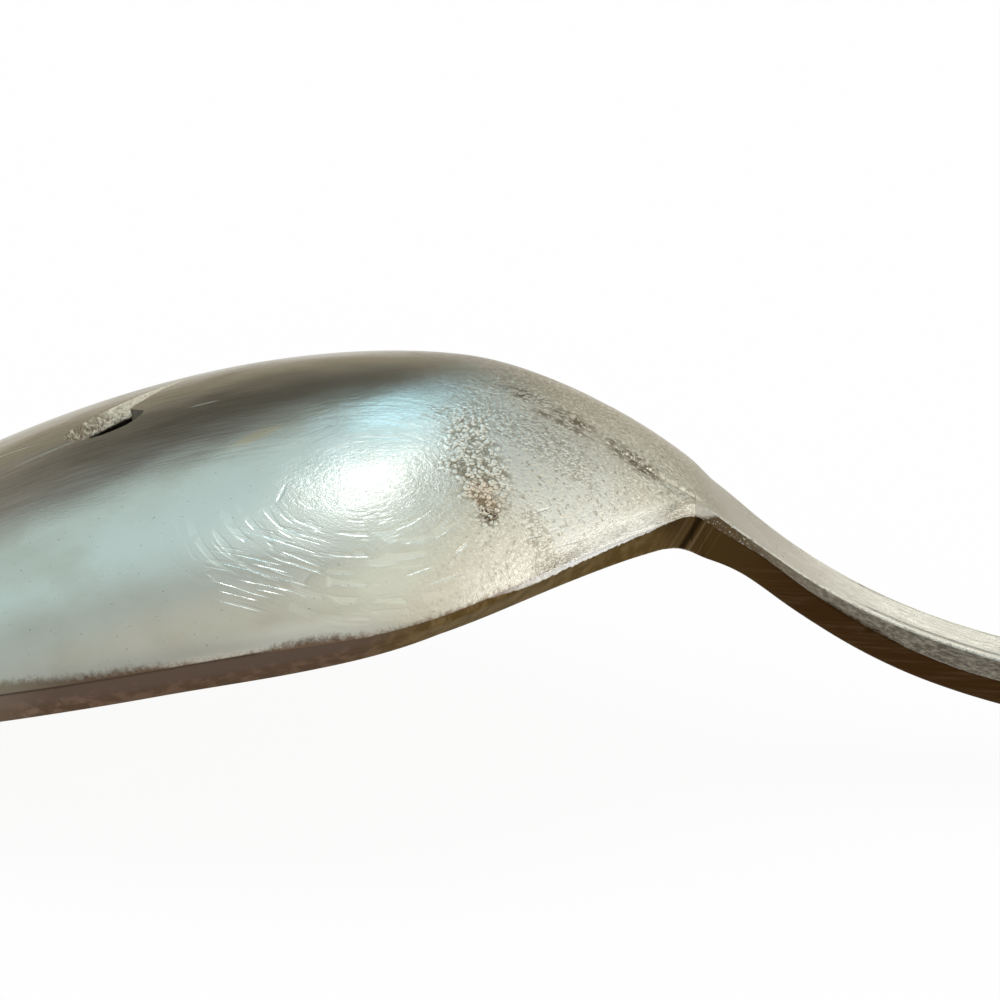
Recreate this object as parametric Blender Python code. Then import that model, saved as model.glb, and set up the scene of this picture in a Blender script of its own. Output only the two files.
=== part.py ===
# Bonbon spoon: a pierced, pressed bowl and a forged handle, soldered in a half lap at the neck.
# It lies face down, as it is put away: the tip of the bowl and the end of the handle on z = 0.
# Units are metres. While it is shaped, x = 0 is the neck, the bowl lies towards -x and the handle
# towards +x, and heights are measured from the corner of the rim at the tip.

import math

import bmesh
import bpy
import numpy as np
from mathutils import Vector
from mathutils.geometry import interpolate_bezier

# Bowl, seen from above
BOWL_LENGTH = 0.0420
BOWL_WIDTH = 0.0333
WIDEST_FROM_NECK = 0.0197
SHOULDER_FULLNESS = 0.0123    # how far the outline runs on before it turns in
SHOULDER_RUN = 0.0163         # length of the straight slope down to the neck
SHOULDER_ANGLE = 48.9         # degrees between that slope and the stem
SHOULDER_FOOT = 0.0006        # where that slope meets the stem's edge, past the neck
NECK_FILLET = 0.0005          # rounding where they meet

# Bowl, seen from the side
RIM_AT_NECK = 0.01017         # the rim rises from the tip to this height
RIM_BOW = 0.00076             # and bows up this much on the way
TIP_RISE = 0.0004
CROWN_FROM_NECK = 0.0095
CROWN_HEIGHT = 0.0145
CROWN_REACH = 0.0176          # pull of the crown towards the tip
CROWN_TURN = 0.0038           # pull of the crown towards the neck
BOWL_THICKNESS = 0.00136
WALL_ROUNDNESS = 0.583        # 0.5 is an ellipse in cross-section, 1 is a parabola
NECK_ROUNDNESS = 0.749
EDGE_TILT = 46.0              # steepest lean of the rim's edge face, degrees
EDGE_FADE = 0.0093            # the edge face turns upright over this length before the neck

# Neck and handle
BEND_FROM_NECK = 0.00047      # where the neck is steepest
BEND_HEIGHT = 0.01056
BEND_ANGLE = 44.6             # degrees below level
BEND_RISE = 0.0020            # run of the bend towards the bowl
BEND_FALL = 0.0064            # run of the bend towards the handle
INSTEP_FROM_NECK = 0.0225
INSTEP_HEIGHT = 0.0031
INSTEP_REACH = 0.0071
INSTEP_ANGLE = 2.3
FOOT_LENGTH = 0.0200          # flat underside at the end of the handle
FOOT_REACH = 0.0150
HANDLE_LENGTH = 0.0740
HANDLE_THICKNESS = 0.00158
THICKENING = 0.0100           # the handle is at its full thickness this far from the neck
STEM_WIDTH = 0.0052
STEM_LENGTH = 0.0160          # slim part, before the handle widens
END_WIDTH = 0.0125
END_ROUNDING = 0.0070
END_BLUNTNESS = 6.0           # degrees of that arc that the flat end takes
CHAMFER = 0.00054             # along both edges of the handle's back
CHAMFER_START = 0.00005
CHAMFER_RUN = 0.0120          # the chamfer grows over this length
NARROWEST_CHAMFER = 0.3       # most of the half width that a chamfer takes
NECK_BLEND = 0.0046           # length over which the domed back turns flat
NECK_BLEND_START = -0.0020
EDGE_SOFTNESS = 0.0004        # rounding where the rim's line turns into the stem's edge
EDGE_BLEND = (-0.0050, -0.0010, 0.0010, 0.0036)   # where that rounding fades in and out
FRONT_BLEND = 0.0052          # the dished front turns flat over this length past the seam

# Half lap at the neck
SEAM_FROM_NECK = 0.0003
TONGUE_LENGTH = 0.0090
TONGUE_END_WIDTH = 0.0030
TONGUE_SWELL = 0.0008         # how far its edges bow outwards
TONGUE_NOSE = 0.0022
TONGUE_BLUNTNESS = 14.0       # degrees of the nose's arc that its flat front takes
TONGUE_MARGIN = 0.00035       # bowl metal left on each side of the tongue's root
TONGUE_PROUD = 0.00007        # the tongue stands this much above the bowl's back
SOLDER_THICKNESS = 0.00012
FIT_GAP = 0.00005             # on each face of the solder and round the tongue
BUTT_LIP = 0.0002             # slope at the root of the tongue, down to the stem's back

# Pierced whorl in the bowl
WHORL_FROM_NECK = 0.0285
WHORL_RADIUS = 0.0050
WHORL_COUNT = 3
WHORL_START = -7.0            # degrees
DROP_LENGTH = 0.0087
DROP_WIDTH = 0.0033
DROP_LEAN = 68.0              # degrees between a drop and the whorl's radius
PIERCING_REACH = 0.0040       # cutter length above and below the bowl's back

# Fineness of the meshes
BOWL_STATIONS = 26
TIP_STATIONS = 14
BOWL_SLICES = 26
HANDLE_SLICES = 10
TONGUE_STATIONS = 9
BEND_STATIONS = 10
STEM_STATIONS = 18
ARCH_STATIONS = 20
END_STATIONS = 10
DROP_ARC = 14
CURVE_POINTS = 160
PROBE = 0.0002                # half step, in metres along the spoon, for finding slopes
PROBE_SHARE = 0.01            # and across it, as a share of the half width
EDGE_SHARE = 0.985            # slopes are read no nearer to the edge than this share
MERGE_DISTANCE = 1e-7
NO_LENGTH = 1e-9
SHARP_ANGLE = 32.0            # degrees

# Colour and roughness of each metal
SILVER = ((0.72, 0.71, 0.67, 1.0), 0.28)
STEM_SILVER = ((0.66, 0.63, 0.57, 1.0), 0.32)
SOLDER = ((0.50, 0.49, 0.47, 1.0), 0.45)


def clear_scene():
    for old in list(bpy.data.objects):
        bpy.data.objects.remove(old, do_unlink=True)


def smooth_step(low, high, x):
    s = np.clip((x - low) / (high - low), 0.0, 1.0)
    return s * s * (3.0 - 2.0 * s)


def bezier(start, pull_out, pull_in, end):
    knots = [Vector((a, b, 0.0)) for a, b in (start, pull_out, pull_in, end)]
    points = interpolate_bezier(*knots, CURVE_POINTS)
    return np.array([(p.x, p.y) for p in points])


def along(angle, run):
    """Step of the given run in x, at an angle below level."""
    return np.array((run, -run * math.tan(math.radians(angle))))


# Plan outline

def handle_half_width(x):
    swell = smooth_step(STEM_LENGTH, HANDLE_LENGTH - END_ROUNDING, x)
    half = STEM_WIDTH / 2 + (END_WIDTH - STEM_WIDTH) / 2 * swell
    past = np.clip((x - HANDLE_LENGTH + END_ROUNDING) / END_ROUNDING, 0.0, 1.0)
    return half * np.sqrt(1.0 - past ** 2)


def make_shoulder():
    widest = (-WIDEST_FROM_NECK, BOWL_WIDTH / 2)
    full = (-WIDEST_FROM_NECK + SHOULDER_FULLNESS, BOWL_WIDTH / 2)
    neck = np.array((SHOULDER_FOOT, STEM_WIDTH / 2))
    slope = math.radians(SHOULDER_ANGLE)
    run_in = neck + SHOULDER_RUN * np.array((-math.cos(slope), math.sin(slope)))
    return bezier(widest, full, run_in, neck)


SHOULDER = make_shoulder()


def half_width(x):
    """Half the spoon's width at x; bowl and stem meet in a soft corner at the neck."""
    x = np.asarray(x, float)
    past_neck = np.maximum(x - SHOULDER[-1, 0], 0.0)
    bowl = np.interp(x, SHOULDER[:, 0], SHOULDER[:, 1])
    bowl = bowl - past_neck * math.tan(math.radians(SHOULDER_ANGLE))
    to_tip = np.clip((-WIDEST_FROM_NECK - x) / (BOWL_LENGTH - WIDEST_FROM_NECK), 0.0, 1.0)
    bowl = bowl * np.sqrt(1.0 - to_tip ** 2)
    stem = handle_half_width(x)
    soft = NECK_FILLET * smooth_step(-WIDEST_FROM_NECK, -CROWN_FROM_NECK, x)
    joined = (bowl + stem + np.sqrt((bowl - stem) ** 2 + soft ** 2)) / 2
    return np.where(x < -WIDEST_FROM_NECK, bowl, joined)


# Side profile

def make_profile(table):
    """Height of the back along the middle of the spoon; the foot of the handle lies on the table."""
    tip = np.array((-BOWL_LENGTH, 0.0))
    crown = np.array((-CROWN_FROM_NECK, CROWN_HEIGHT))
    bend = np.array((BEND_FROM_NECK, BEND_HEIGHT))
    instep = np.array((INSTEP_FROM_NECK, INSTEP_HEIGHT))
    foot = np.array((HANDLE_LENGTH - FOOT_LENGTH, table + HANDLE_THICKNESS))
    end = np.array((HANDLE_LENGTH, table + HANDLE_THICKNESS))
    return np.vstack([
        bezier(tip, tip + (0.0, TIP_RISE), crown - (CROWN_REACH, 0.0), crown)[:-1],
        bezier(crown, crown + (CROWN_TURN, 0.0), bend - along(BEND_ANGLE, BEND_RISE), bend)[:-1],
        bezier(bend, bend + along(BEND_ANGLE, BEND_FALL),
               instep - along(INSTEP_ANGLE, INSTEP_REACH), instep)[:-1],
        bezier(instep, instep + along(INSTEP_ANGLE, FOOT_REACH), foot - (FOOT_REACH, 0.0), foot),
        [end]])


def rim_height(x):
    s = (x + BOWL_LENGTH) / BOWL_LENGTH
    return RIM_AT_NECK * s + RIM_BOW * 4.0 * s * (1.0 - s)


def chamfer(x):
    grown = CHAMFER_START + CHAMFER * smooth_step(NECK_BLEND_START / 2, CHAMFER_RUN, x)
    return np.clip(half_width(x) * NARROWEST_CHAMFER, CHAMFER_START, grown)


def flatness(x):
    """0 where the section is domed like the bowl, 1 where it is flat like the stem."""
    return smooth_step(NECK_BLEND_START, NECK_BLEND_START + NECK_BLEND, x)


def thickness(x):
    """The stem is as thick as the bowl at the seam, and a little stouter past the neck."""
    return BOWL_THICKNESS + (HANDLE_THICKNESS - BOWL_THICKNESS) * smooth_step(SEAM_FROM_NECK, THICKENING, x)


class Back:
    """The spoon's back as a surface over (x, share of the half width)."""

    def __init__(self, table):
        self.profile = make_profile(table)

    def middle(self, x):
        return np.interp(x, self.profile[:, 0], self.profile[:, 1])

    def edge_drop(self, x):
        """How far the edge lies below the middle of the back; rim and stem meet in a soft turn."""
        middle = self.middle(x)
        at_neck = float(self.middle(0.0)) - RIM_AT_NECK
        start, full, leave, end = EDGE_BLEND
        fade = 1.0 - smooth_step(0.0, end, x)
        on_stem = chamfer(x) + np.maximum(at_neck - chamfer(x), 0.0) * fade
        rim_drop = middle - rim_height(x)
        soft = EDGE_SOFTNESS * smooth_step(start, full, x) * (1.0 - smooth_step(leave, end, x))
        turned = (rim_drop + on_stem + np.sqrt((rim_drop - on_stem) ** 2 + soft ** 2)) / 2
        return np.where(x < start, rim_drop, turned)

    def point(self, x, t):
        """Point at x, with t from -1 at one edge to 1 at the other."""
        x, t = np.broadcast_arrays(np.asarray(x, float), np.asarray(t, float))
        width = half_width(x)
        roundness = WALL_ROUNDNESS + (NECK_ROUNDNESS - WALL_ROUNDNESS) * smooth_step(
            -WIDEST_FROM_NECK, NECK_BLEND_START, x)
        dome = 1.0 - np.clip(1.0 - t ** 2, 0.0, 1.0) ** roundness
        corner = chamfer(x) / np.maximum(width, 2.0 * CHAMFER_START)
        flat = np.clip((np.abs(t) - 1.0 + corner) / corner, 0.0, 1.0)
        drop = self.edge_drop(x) * (dome + (flat - dome) * flatness(x))
        return np.stack([x, width * t, self.middle(x) - drop], axis=-1)

    def inward(self, x, t):
        """Unit direction through the metal, leaning no further than the rim's edge face."""
        x, t = np.broadcast_arrays(np.asarray(x, float), np.asarray(t, float))
        t_in = np.clip(t, -EDGE_SHARE, EDGE_SHARE)
        x_in = np.clip(x, -BOWL_LENGTH + 2 * PROBE, HANDLE_LENGTH - 2 * PROBE)
        y_in = t_in * half_width(x_in)
        ahead = self.over(x_in + PROBE, y_in) - self.over(x_in - PROBE, y_in)
        aside = self.point(x_in, t_in + PROBE_SHARE) - self.point(x_in, t_in - PROBE_SHARE)
        normal = np.cross(ahead, aside)
        normal /= np.linalg.norm(normal, axis=-1, keepdims=True)
        level = np.linalg.norm(normal[..., :2], axis=-1, keepdims=True)
        from_neck = np.clip((SEAM_FROM_NECK - x_in) / EDGE_FADE, 0.0, 1.0)[..., None]
        steepest = math.radians(EDGE_TILT) * np.sqrt(from_neck)
        lean = np.minimum(np.arctan2(level, normal[..., 2:]), steepest)
        flat_part = normal[..., :2] / np.maximum(level, NO_LENGTH) * np.sin(lean)
        return -np.concatenate([flat_part, np.cos(lean)], axis=-1)

    def over(self, x, y):
        """Point above plan position (x, y), kept inside the outline."""
        reach = EDGE_SHARE + PROBE_SHARE
        share = np.clip(y / np.maximum(half_width(x), NO_LENGTH), -reach, reach)
        return self.point(x, share)

    def front(self, x, t):
        """Point on the spoon's front opposite point(x, t): dished in the bowl, flat under the stem."""
        x, t = np.broadcast_arrays(np.asarray(x, float), np.asarray(t, float))
        through = thickness(x)[..., None]
        here = self.point(x, t)
        dished = here + self.inward(x, t) * through
        level = self.point(x, 0.0 * t) + self.inward(x, 0.0 * t) * through
        level[..., 1] = here[..., 1]
        levelled = smooth_step(SEAM_FROM_NECK, SEAM_FROM_NECK + FRONT_BLEND, x)
        return dished + (level - dished) * levelled[..., None]

    def sheet(self, x, t, depth):
        """Points inside the metal, a given depth below the back."""
        here = self.point(x, t)
        return here + (self.front(x, t) - here) * (depth / thickness(np.asarray(x, float)))[..., None]


# Mesh helpers

def make_object(name, bm, material, parent):
    mesh = bpy.data.meshes.new(name)
    bmesh.ops.recalc_face_normals(bm, faces=bm.faces)
    bm.to_mesh(mesh)
    bm.free()
    mesh.materials.append(material)
    mesh.shade_smooth()
    mesh.set_sharp_from_angle(angle=math.radians(SHARP_ANGLE))
    piece = bpy.data.objects.new(name, mesh)
    bpy.context.collection.objects.link(piece)
    piece.parent = parent
    return piece


def plate(back, front):
    """Closed solid between two grids of points of the same shape; grid rows may shrink to a point."""
    bm = bmesh.new()
    rows, columns = back.shape[:2]
    grids = [[[bm.verts.new(p) for p in row] for row in grid] for grid in (back, front)]
    for grid in grids:
        for i in range(rows - 1):
            for j in range(columns - 1):
                bm.faces.new((grid[i][j], grid[i + 1][j], grid[i + 1][j + 1], grid[i][j + 1]))
    upper, lower = grids
    rim = [(i, 0) for i in range(rows)] + [(rows - 1, j) for j in range(1, columns)]
    rim += [(i, columns - 1) for i in range(rows - 2, -1, -1)] + [(0, j) for j in range(columns - 2, 0, -1)]
    for (i, j), (k, m) in zip(rim, rim[1:] + rim[:1]):
        bm.faces.new((upper[i][j], upper[k][m], lower[k][m], lower[i][j]))
    bmesh.ops.remove_doubles(bm, verts=bm.verts, dist=MERGE_DISTANCE)
    return bm


def metal(name, colour_and_roughness):
    colour, roughness = colour_and_roughness
    material = bpy.data.materials.new(name)
    material.use_nodes = True
    shader = material.node_tree.nodes["Principled BSDF"]
    shader.inputs["Base Color"].default_value = colour
    shader.inputs["Metallic"].default_value = 1.0
    shader.inputs["Roughness"].default_value = roughness
    return material


def cut(piece, cutter):
    cutter.hide_render = True
    cutter.display_type = 'WIRE'
    boolean = piece.modifiers.new("cut_" + cutter.name, 'BOOLEAN')
    boolean.object = cutter
    boolean.operation = 'DIFFERENCE'
    boolean.solver = 'EXACT'


# Bowl

def bowl_grids(back, heel):
    """Outer and inner points of the pressed bowl, from the tip to its heel."""
    turn = np.linspace(math.pi / 2, 0.0, TIP_STATIONS)
    tip_x = -WIDEST_FROM_NECK - (BOWL_LENGTH - WIDEST_FROM_NECK) * np.sin(turn)
    rest_x = np.linspace(-WIDEST_FROM_NECK, heel, BOWL_STATIONS)[1:]
    x = np.concatenate([tip_x, rest_x])[:, None]
    t = np.sin(np.linspace(-math.pi / 2, math.pi / 2, BOWL_SLICES + 1))[None, :]
    outer = back.point(x, t)
    inner = back.front(x, t)
    # the tip is one point of the rim, so its section is one point inside as well
    inner[0] = inner[0].mean(axis=0)
    return outer, inner


def drop_outline():
    """Teardrop: a round end about the origin and a point along +x."""
    radius = DROP_WIDTH / 2
    point = DROP_LENGTH - radius
    touch = math.acos(radius / point)
    turns = np.linspace(touch, 2.0 * math.pi - touch, DROP_ARC + 1)
    return [(radius * math.cos(a), radius * math.sin(a)) for a in turns] + [(point, 0.0)]


def piercing_cutter(name, back, number, parent, material):
    """Prism of one drop of the whorl, standing square to the bowl's back."""
    turn = math.radians(WHORL_START) + 2.0 * math.pi * number / WHORL_COUNT
    x = -WHORL_FROM_NECK + WHORL_RADIUS * math.cos(turn)
    y = WHORL_RADIUS * math.sin(turn)
    base = Vector(back.over(x, y))
    axis = -Vector(back.inward(x, y / half_width(x)))
    heading = turn + math.radians(DROP_LEAN)
    lengthwise = Vector((math.cos(heading), math.sin(heading), 0.0))
    lengthwise = (lengthwise - axis * lengthwise.dot(axis)).normalized()
    across = axis.cross(lengthwise)
    bm = bmesh.new()
    floor = base - axis * PIERCING_REACH
    ring = [bm.verts.new(floor + lengthwise * u + across * v) for u, v in drop_outline()]
    face = bm.faces.new(ring)
    grown = bmesh.ops.extrude_face_region(bm, geom=[face])
    top = [v for v in grown["geom"] if isinstance(v, bmesh.types.BMVert)]
    bmesh.ops.translate(bm, verts=top, vec=axis * 2.0 * PIERCING_REACH)
    return make_object(name, bm, material, parent)


# Lap joint

def tongue_half_width(x, seam):
    root = float(half_width(seam)) - TONGUE_MARGIN
    along_tongue = (x - seam + TONGUE_LENGTH) / TONGUE_LENGTH
    half = TONGUE_END_WIDTH / 2 + (root - TONGUE_END_WIDTH / 2) * along_tongue
    half = half + TONGUE_SWELL * 4.0 * along_tongue * (1.0 - along_tongue)
    nose = np.clip((x - seam + TONGUE_LENGTH) / TONGUE_NOSE, 0.0, 1.0)
    return half * np.sqrt(1.0 - (1.0 - nose) ** 2)


def tongue_stations(seam):
    turn = np.linspace(math.radians(TONGUE_BLUNTNESS), math.pi / 2, TONGUE_STATIONS)
    nose = seam - TONGUE_LENGTH + TONGUE_NOSE * (1.0 - np.cos(turn))
    straight = np.linspace(nose[-1], seam, 2 * TONGUE_STATIONS)[1:]
    return np.concatenate([nose, straight])


def lap_sheet(back, stations, seam, depth, grow):
    """Points over the tongue's outline, a given depth inside the metal."""
    slices = np.linspace(-1.0, 1.0, HANDLE_SLICES + 1)
    half = tongue_half_width(stations, seam) + grow
    share = half[:, None] * slices[None, :] / half_width(stations)[:, None]
    x = np.repeat(stations[:, None], slices.size, axis=1)
    return back.sheet(x, share, depth)


def section(back, x, depth, inset):
    """One row of points right across the spoon at x."""
    edge = float(half_width(x)) - inset
    corner = max(edge - float(chamfer(x)), edge / 2)
    inside = np.linspace(-corner, corner, HANDLE_SLICES - 1)
    share = np.concatenate([[-edge], inside, [edge]]) / float(half_width(x))
    return back.sheet(np.full(share.shape, x), share, depth)


def handle_stations():
    """Stations past the seam, closer together where the handle bends and at its round end."""
    bend = np.linspace(SEAM_FROM_NECK, NECK_BLEND, BEND_STATIONS)[1:]
    stem = np.linspace(NECK_BLEND, INSTEP_FROM_NECK, STEM_STATIONS)[1:]
    arch = np.linspace(INSTEP_FROM_NECK, HANDLE_LENGTH - END_ROUNDING, ARCH_STATIONS)[1:]
    turn = np.linspace(0.0, math.radians(90.0 - END_BLUNTNESS), END_STATIONS)[1:]
    end = HANDLE_LENGTH - END_ROUNDING + END_ROUNDING * np.sin(turn)
    return np.concatenate([bend, stem, arch, end])


def build():
    clear_scene()
    spoon = bpy.data.objects.new("spoon", None)
    bpy.context.collection.objects.link(spoon)
    silver = metal("bowl_silver", SILVER)
    stem_silver = metal("handle_silver", STEM_SILVER)
    solder = metal("solder", SOLDER)

    # the lap takes half of the bowl's thickness, shared by the tongue, the solder and two gaps
    lap_depth = BOWL_THICKNESS / 2
    tongue_depth = lap_depth - SOLDER_THICKNESS - 2 * FIT_GAP
    seam = SEAM_FROM_NECK
    heel = seam - SOLDER_THICKNESS - 2 * FIT_GAP

    # the lowest point of the bowl sets the table that the handle's foot lies on
    outer, inner = bowl_grids(Back(0.0), heel)
    table = float(min(outer[..., 2].min(), inner[..., 2].min()))
    back = Back(table)

    bowl = make_object("bowl", plate(outer, inner), silver, spoon)
    stations = tongue_stations(seam)
    past_heel = np.append(stations, seam + BUTT_LIP)
    rebate = plate(lap_sheet(back, past_heel, seam, -lap_depth, FIT_GAP),
                   lap_sheet(back, past_heel, seam, lap_depth, FIT_GAP))
    cut(bowl, make_object("rebate", rebate, silver, spoon))
    for number in range(WHORL_COUNT):
        cut(bowl, piercing_cutter("piercing_%d" % (number + 1), back, number, spoon, silver))

    upper = [lap_sheet(back, stations, seam, -TONGUE_PROUD, 0.0)]
    lower = [lap_sheet(back, stations, seam, tongue_depth, 0.0)]
    lower.append(section(back, seam, BOWL_THICKNESS, 0.0)[None])
    upper.append(section(back, seam + BUTT_LIP, 0.0, 0.0)[None])
    for x in handle_stations():
        upper.append(section(back, x, 0.0, 0.0)[None])
        lower.append(section(back, x, thickness(x), 0.0)[None])
    make_object("handle", plate(np.vstack(upper), np.vstack(lower)), stem_silver, spoon)

    film_top = seam - FIT_GAP
    film_bottom = film_top - SOLDER_THICKNESS
    lap = np.append(stations[:-1], film_bottom)
    near = [lap_sheet(back, lap, seam, tongue_depth + FIT_GAP, -FIT_GAP),
            lap_sheet(back, np.array([film_top]), seam, tongue_depth + FIT_GAP, -FIT_GAP),
            section(back, film_top, BOWL_THICKNESS - FIT_GAP, TONGUE_MARGIN)[None]]
    far = [lap_sheet(back, lap, seam, lap_depth - FIT_GAP, -FIT_GAP),
           lap_sheet(back, np.array([film_bottom]), seam, lap_depth - FIT_GAP, -FIT_GAP),
           section(back, film_bottom, BOWL_THICKNESS - FIT_GAP, TONGUE_MARGIN)[None]]
    make_object("solder_seam", plate(np.vstack(near), np.vstack(far)), solder, spoon)

    # origin under the middle of the spoon, on the table
    spoon.location = (-(HANDLE_LENGTH - BOWL_LENGTH) / 2, 0.0, -table)


build()
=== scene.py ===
# Bonbon spoon in worn silver plate, dressed over the fixed parts of the frame
import math
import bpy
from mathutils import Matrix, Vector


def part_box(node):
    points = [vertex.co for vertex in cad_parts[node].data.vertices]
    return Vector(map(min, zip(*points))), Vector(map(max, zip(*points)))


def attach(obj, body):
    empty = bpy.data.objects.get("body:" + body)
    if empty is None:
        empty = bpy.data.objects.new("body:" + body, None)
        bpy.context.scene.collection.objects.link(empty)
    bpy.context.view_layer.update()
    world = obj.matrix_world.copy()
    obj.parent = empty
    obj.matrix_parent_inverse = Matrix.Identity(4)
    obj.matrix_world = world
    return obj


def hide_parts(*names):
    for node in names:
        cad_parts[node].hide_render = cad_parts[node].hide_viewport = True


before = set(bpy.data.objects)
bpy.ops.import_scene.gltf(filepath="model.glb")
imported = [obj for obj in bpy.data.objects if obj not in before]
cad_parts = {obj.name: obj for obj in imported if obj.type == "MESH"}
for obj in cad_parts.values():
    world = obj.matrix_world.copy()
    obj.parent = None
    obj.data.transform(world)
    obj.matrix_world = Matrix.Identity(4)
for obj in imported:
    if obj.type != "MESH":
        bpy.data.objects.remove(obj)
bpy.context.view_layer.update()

from types import SimpleNamespace

import bmesh
import bpy
import numpy as np
from mathutils import Matrix, Vector, kdtree, noise

mm = 0.001
print("frame loaded:", ", ".join(sorted(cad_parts)))

# form of the whole spoon in millimetres: x from the neck, heights from the rim's corner at the tip
spoonForm = {
    "bowlLength": 42.0, "bowlWidth": 33.3, "widestX": -19.7,
    "shoulderFullness": 12.3, "shoulderRun": 16.3, "shoulderAngle": 48.9,
    "shoulderFoot": 0.6, "neckFillet": 0.5,
    "rimAtNeck": 10.17, "rimBow": 0.76, "tipRise": 0.4,
    "crownX": -9.5, "crownHeight": 14.5, "crownReach": 17.6, "crownTurn": 3.8,
    "bowlThickness": 1.36, "wallRoundness": 0.583, "neckRoundness": 0.749,
    "rimSwell": 0.10, "rimSwellRun": 5.0, "rimSwellEnd": (3.0, 1.0), "rimSwellEase": (-4.5, -7.5),
    "neckSwell": 0.22, "neckSwellReach": 0.8,
    "edgeTilt": 46.0, "edgeFade": 9.3,
    "bendX": 0.47, "bendHeight": 10.56, "bendAngle": 44.6, "bendRise": 2.0, "bendFall": 6.4,
    "instepX": 22.5, "instepHeight": 3.1, "instepReach": 7.1, "instepAngle": 2.3,
    "footLength": 20.0, "footReach": 15.0,
    "handleLength": 74.0, "handleThickness": 1.58, "thickening": 10.0,
    "stemWidth": 5.2, "stemLength": 16.0, "endWidth": 12.5, "endRounding": 7.0,
    "chamfer": 0.54, "chamferStart": 0.05, "chamferRun": 12.0, "chamferShare": 0.3,
    "bevelSpread": 0.6, "bevelSpreadFrom": (1.2, 3.8), "bevelSpreadTo": (28.0, 9.5),
    "neckBlend": 4.6, "neckBlendStart": -2.0, "frontBlend": 5.2,
    "edgeSoftness": 0.4, "edgeBlend": (-5.0, -1.0, 1.0, 3.6),
    "seamX": 0.3, "tongueLength": 9.0, "tongueEndWidth": 3.0, "tongueSwell": 0.8, "tongueNose": 2.2,
    "tongueMargin": 0.35, "tongueProud": 0.07, "proudStart": 4.0, "proudRun": 1.0, "proudEnd": 1.3,
    "raisedInset": 0.37, "raisedEnd": 1.2, "solderThickness": 0.12, "fitGap": 0.05,
}
form = SimpleNamespace(**spoonForm)

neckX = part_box("bowl")[0].x / mm + form.bowlLength             # the neck in the frame
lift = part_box("bowl")[1].z / mm - form.crownHeight             # the rim's corner above the table
lapDepth = form.bowlThickness / 2
tongueDepth = lapDepth - form.solderThickness - 2 * form.fitGap
heelX = form.seamX - form.solderThickness - 2 * form.fitGap
stemStart = heelX + 0.004                                      # the stem closes up to the bowl's heel
noseX = form.seamX - form.tongueLength                         # the tongue's end
neckPlace = np.array((neckX, 0.0, lift))


def toFrame(points):
    return (points + neckPlace) * mm


def fromFrame(points):
    return points / mm - neckPlace


def smoothStep(low, high, x):
    s = np.clip((x - low) / (high - low), 0.0, 1.0)
    return s * s * (3.0 - 2.0 * s)


def bezier(start, pullOut, pullIn, end, count=1500):
    u = np.linspace(0.0, 1.0, count)[:, None]
    knots = [np.asarray(k, float) for k in (start, pullOut, pullIn, end)]
    return ((1 - u) ** 3 * knots[0] + 3 * (1 - u) ** 2 * u * knots[1]
            + 3 * (1 - u) * u ** 2 * knots[2] + u ** 3 * knots[3])


def slopeStep(angle, run):
    return np.array((run, -run * math.tan(math.radians(angle))))


def sideProfile():
    tip = np.array((-form.bowlLength, 0.0))
    crown = np.array((form.crownX, form.crownHeight))
    bend = np.array((form.bendX, form.bendHeight))
    instep = np.array((form.instepX, form.instepHeight))
    footZ = form.handleThickness - lift                        # the foot lies on the table
    foot = np.array((form.handleLength - form.footLength, footZ))
    bendIn = bend - slopeStep(form.bendAngle, form.bendRise)
    bendOut = bend + slopeStep(form.bendAngle, form.bendFall)
    instepIn = instep - slopeStep(form.instepAngle, form.instepReach)
    instepOut = instep + slopeStep(form.instepAngle, form.footReach)
    return np.vstack([
        bezier(tip, tip + (0.0, form.tipRise), crown - (form.crownReach, 0.0), crown)[:-1],
        bezier(crown, crown + (form.crownTurn, 0.0), bendIn, bend)[:-1],
        bezier(bend, bendOut, instepIn, instep)[:-1],
        bezier(instep, instepOut, foot - (form.footReach, 0.0), foot),
        [(form.handleLength, footZ)]])


def shoulderCurve():
    slope = math.radians(form.shoulderAngle)
    half = form.bowlWidth / 2
    neck = np.array((form.shoulderFoot, form.stemWidth / 2))
    runIn = neck + form.shoulderRun * np.array((-math.cos(slope), math.sin(slope)))
    return bezier((form.widestX, half), (form.widestX + form.shoulderFullness, half), runIn, neck)


profile = sideProfile()
shoulder = shoulderCurve()


def handleHalfWidth(x):
    straight = form.handleLength - form.endRounding
    swell = smoothStep(form.stemLength, straight, x)
    half = form.stemWidth / 2 + (form.endWidth - form.stemWidth) / 2 * swell
    past = np.clip((x - straight) / form.endRounding, 0.0, 1.0)
    return half * np.sqrt(1.0 - past ** 2)


def halfWidth(x):
    x = np.asarray(x, float)
    pastNeck = np.maximum(x - shoulder[-1, 0], 0.0)
    bowl = np.interp(x, shoulder[:, 0], shoulder[:, 1])
    bowl = bowl - pastNeck * math.tan(math.radians(form.shoulderAngle))
    toTip = np.clip((form.widestX - x) / (form.bowlLength + form.widestX), 0.0, 1.0)
    bowl = bowl * np.sqrt(1.0 - toTip ** 2)
    stem = handleHalfWidth(x)
    soft = form.neckFillet * smoothStep(form.widestX, form.crownX, x)
    joined = (bowl + stem + np.sqrt((bowl - stem) ** 2 + soft ** 2)) / 2
    return np.where(x < form.widestX, bowl, joined)


def midHeight(x):
    return np.interp(x, profile[:, 0], profile[:, 1])


def rimHeight(x):
    s = (x + form.bowlLength) / form.bowlLength
    return form.rimAtNeck * s + form.rimBow * 4.0 * s * (1.0 - s)


def chamferAt(x):
    grown = form.chamferStart + form.chamfer * smoothStep(form.neckBlendStart / 2, form.chamferRun, x)
    return np.clip(halfWidth(x) * form.chamferShare, form.chamferStart, grown)


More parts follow.
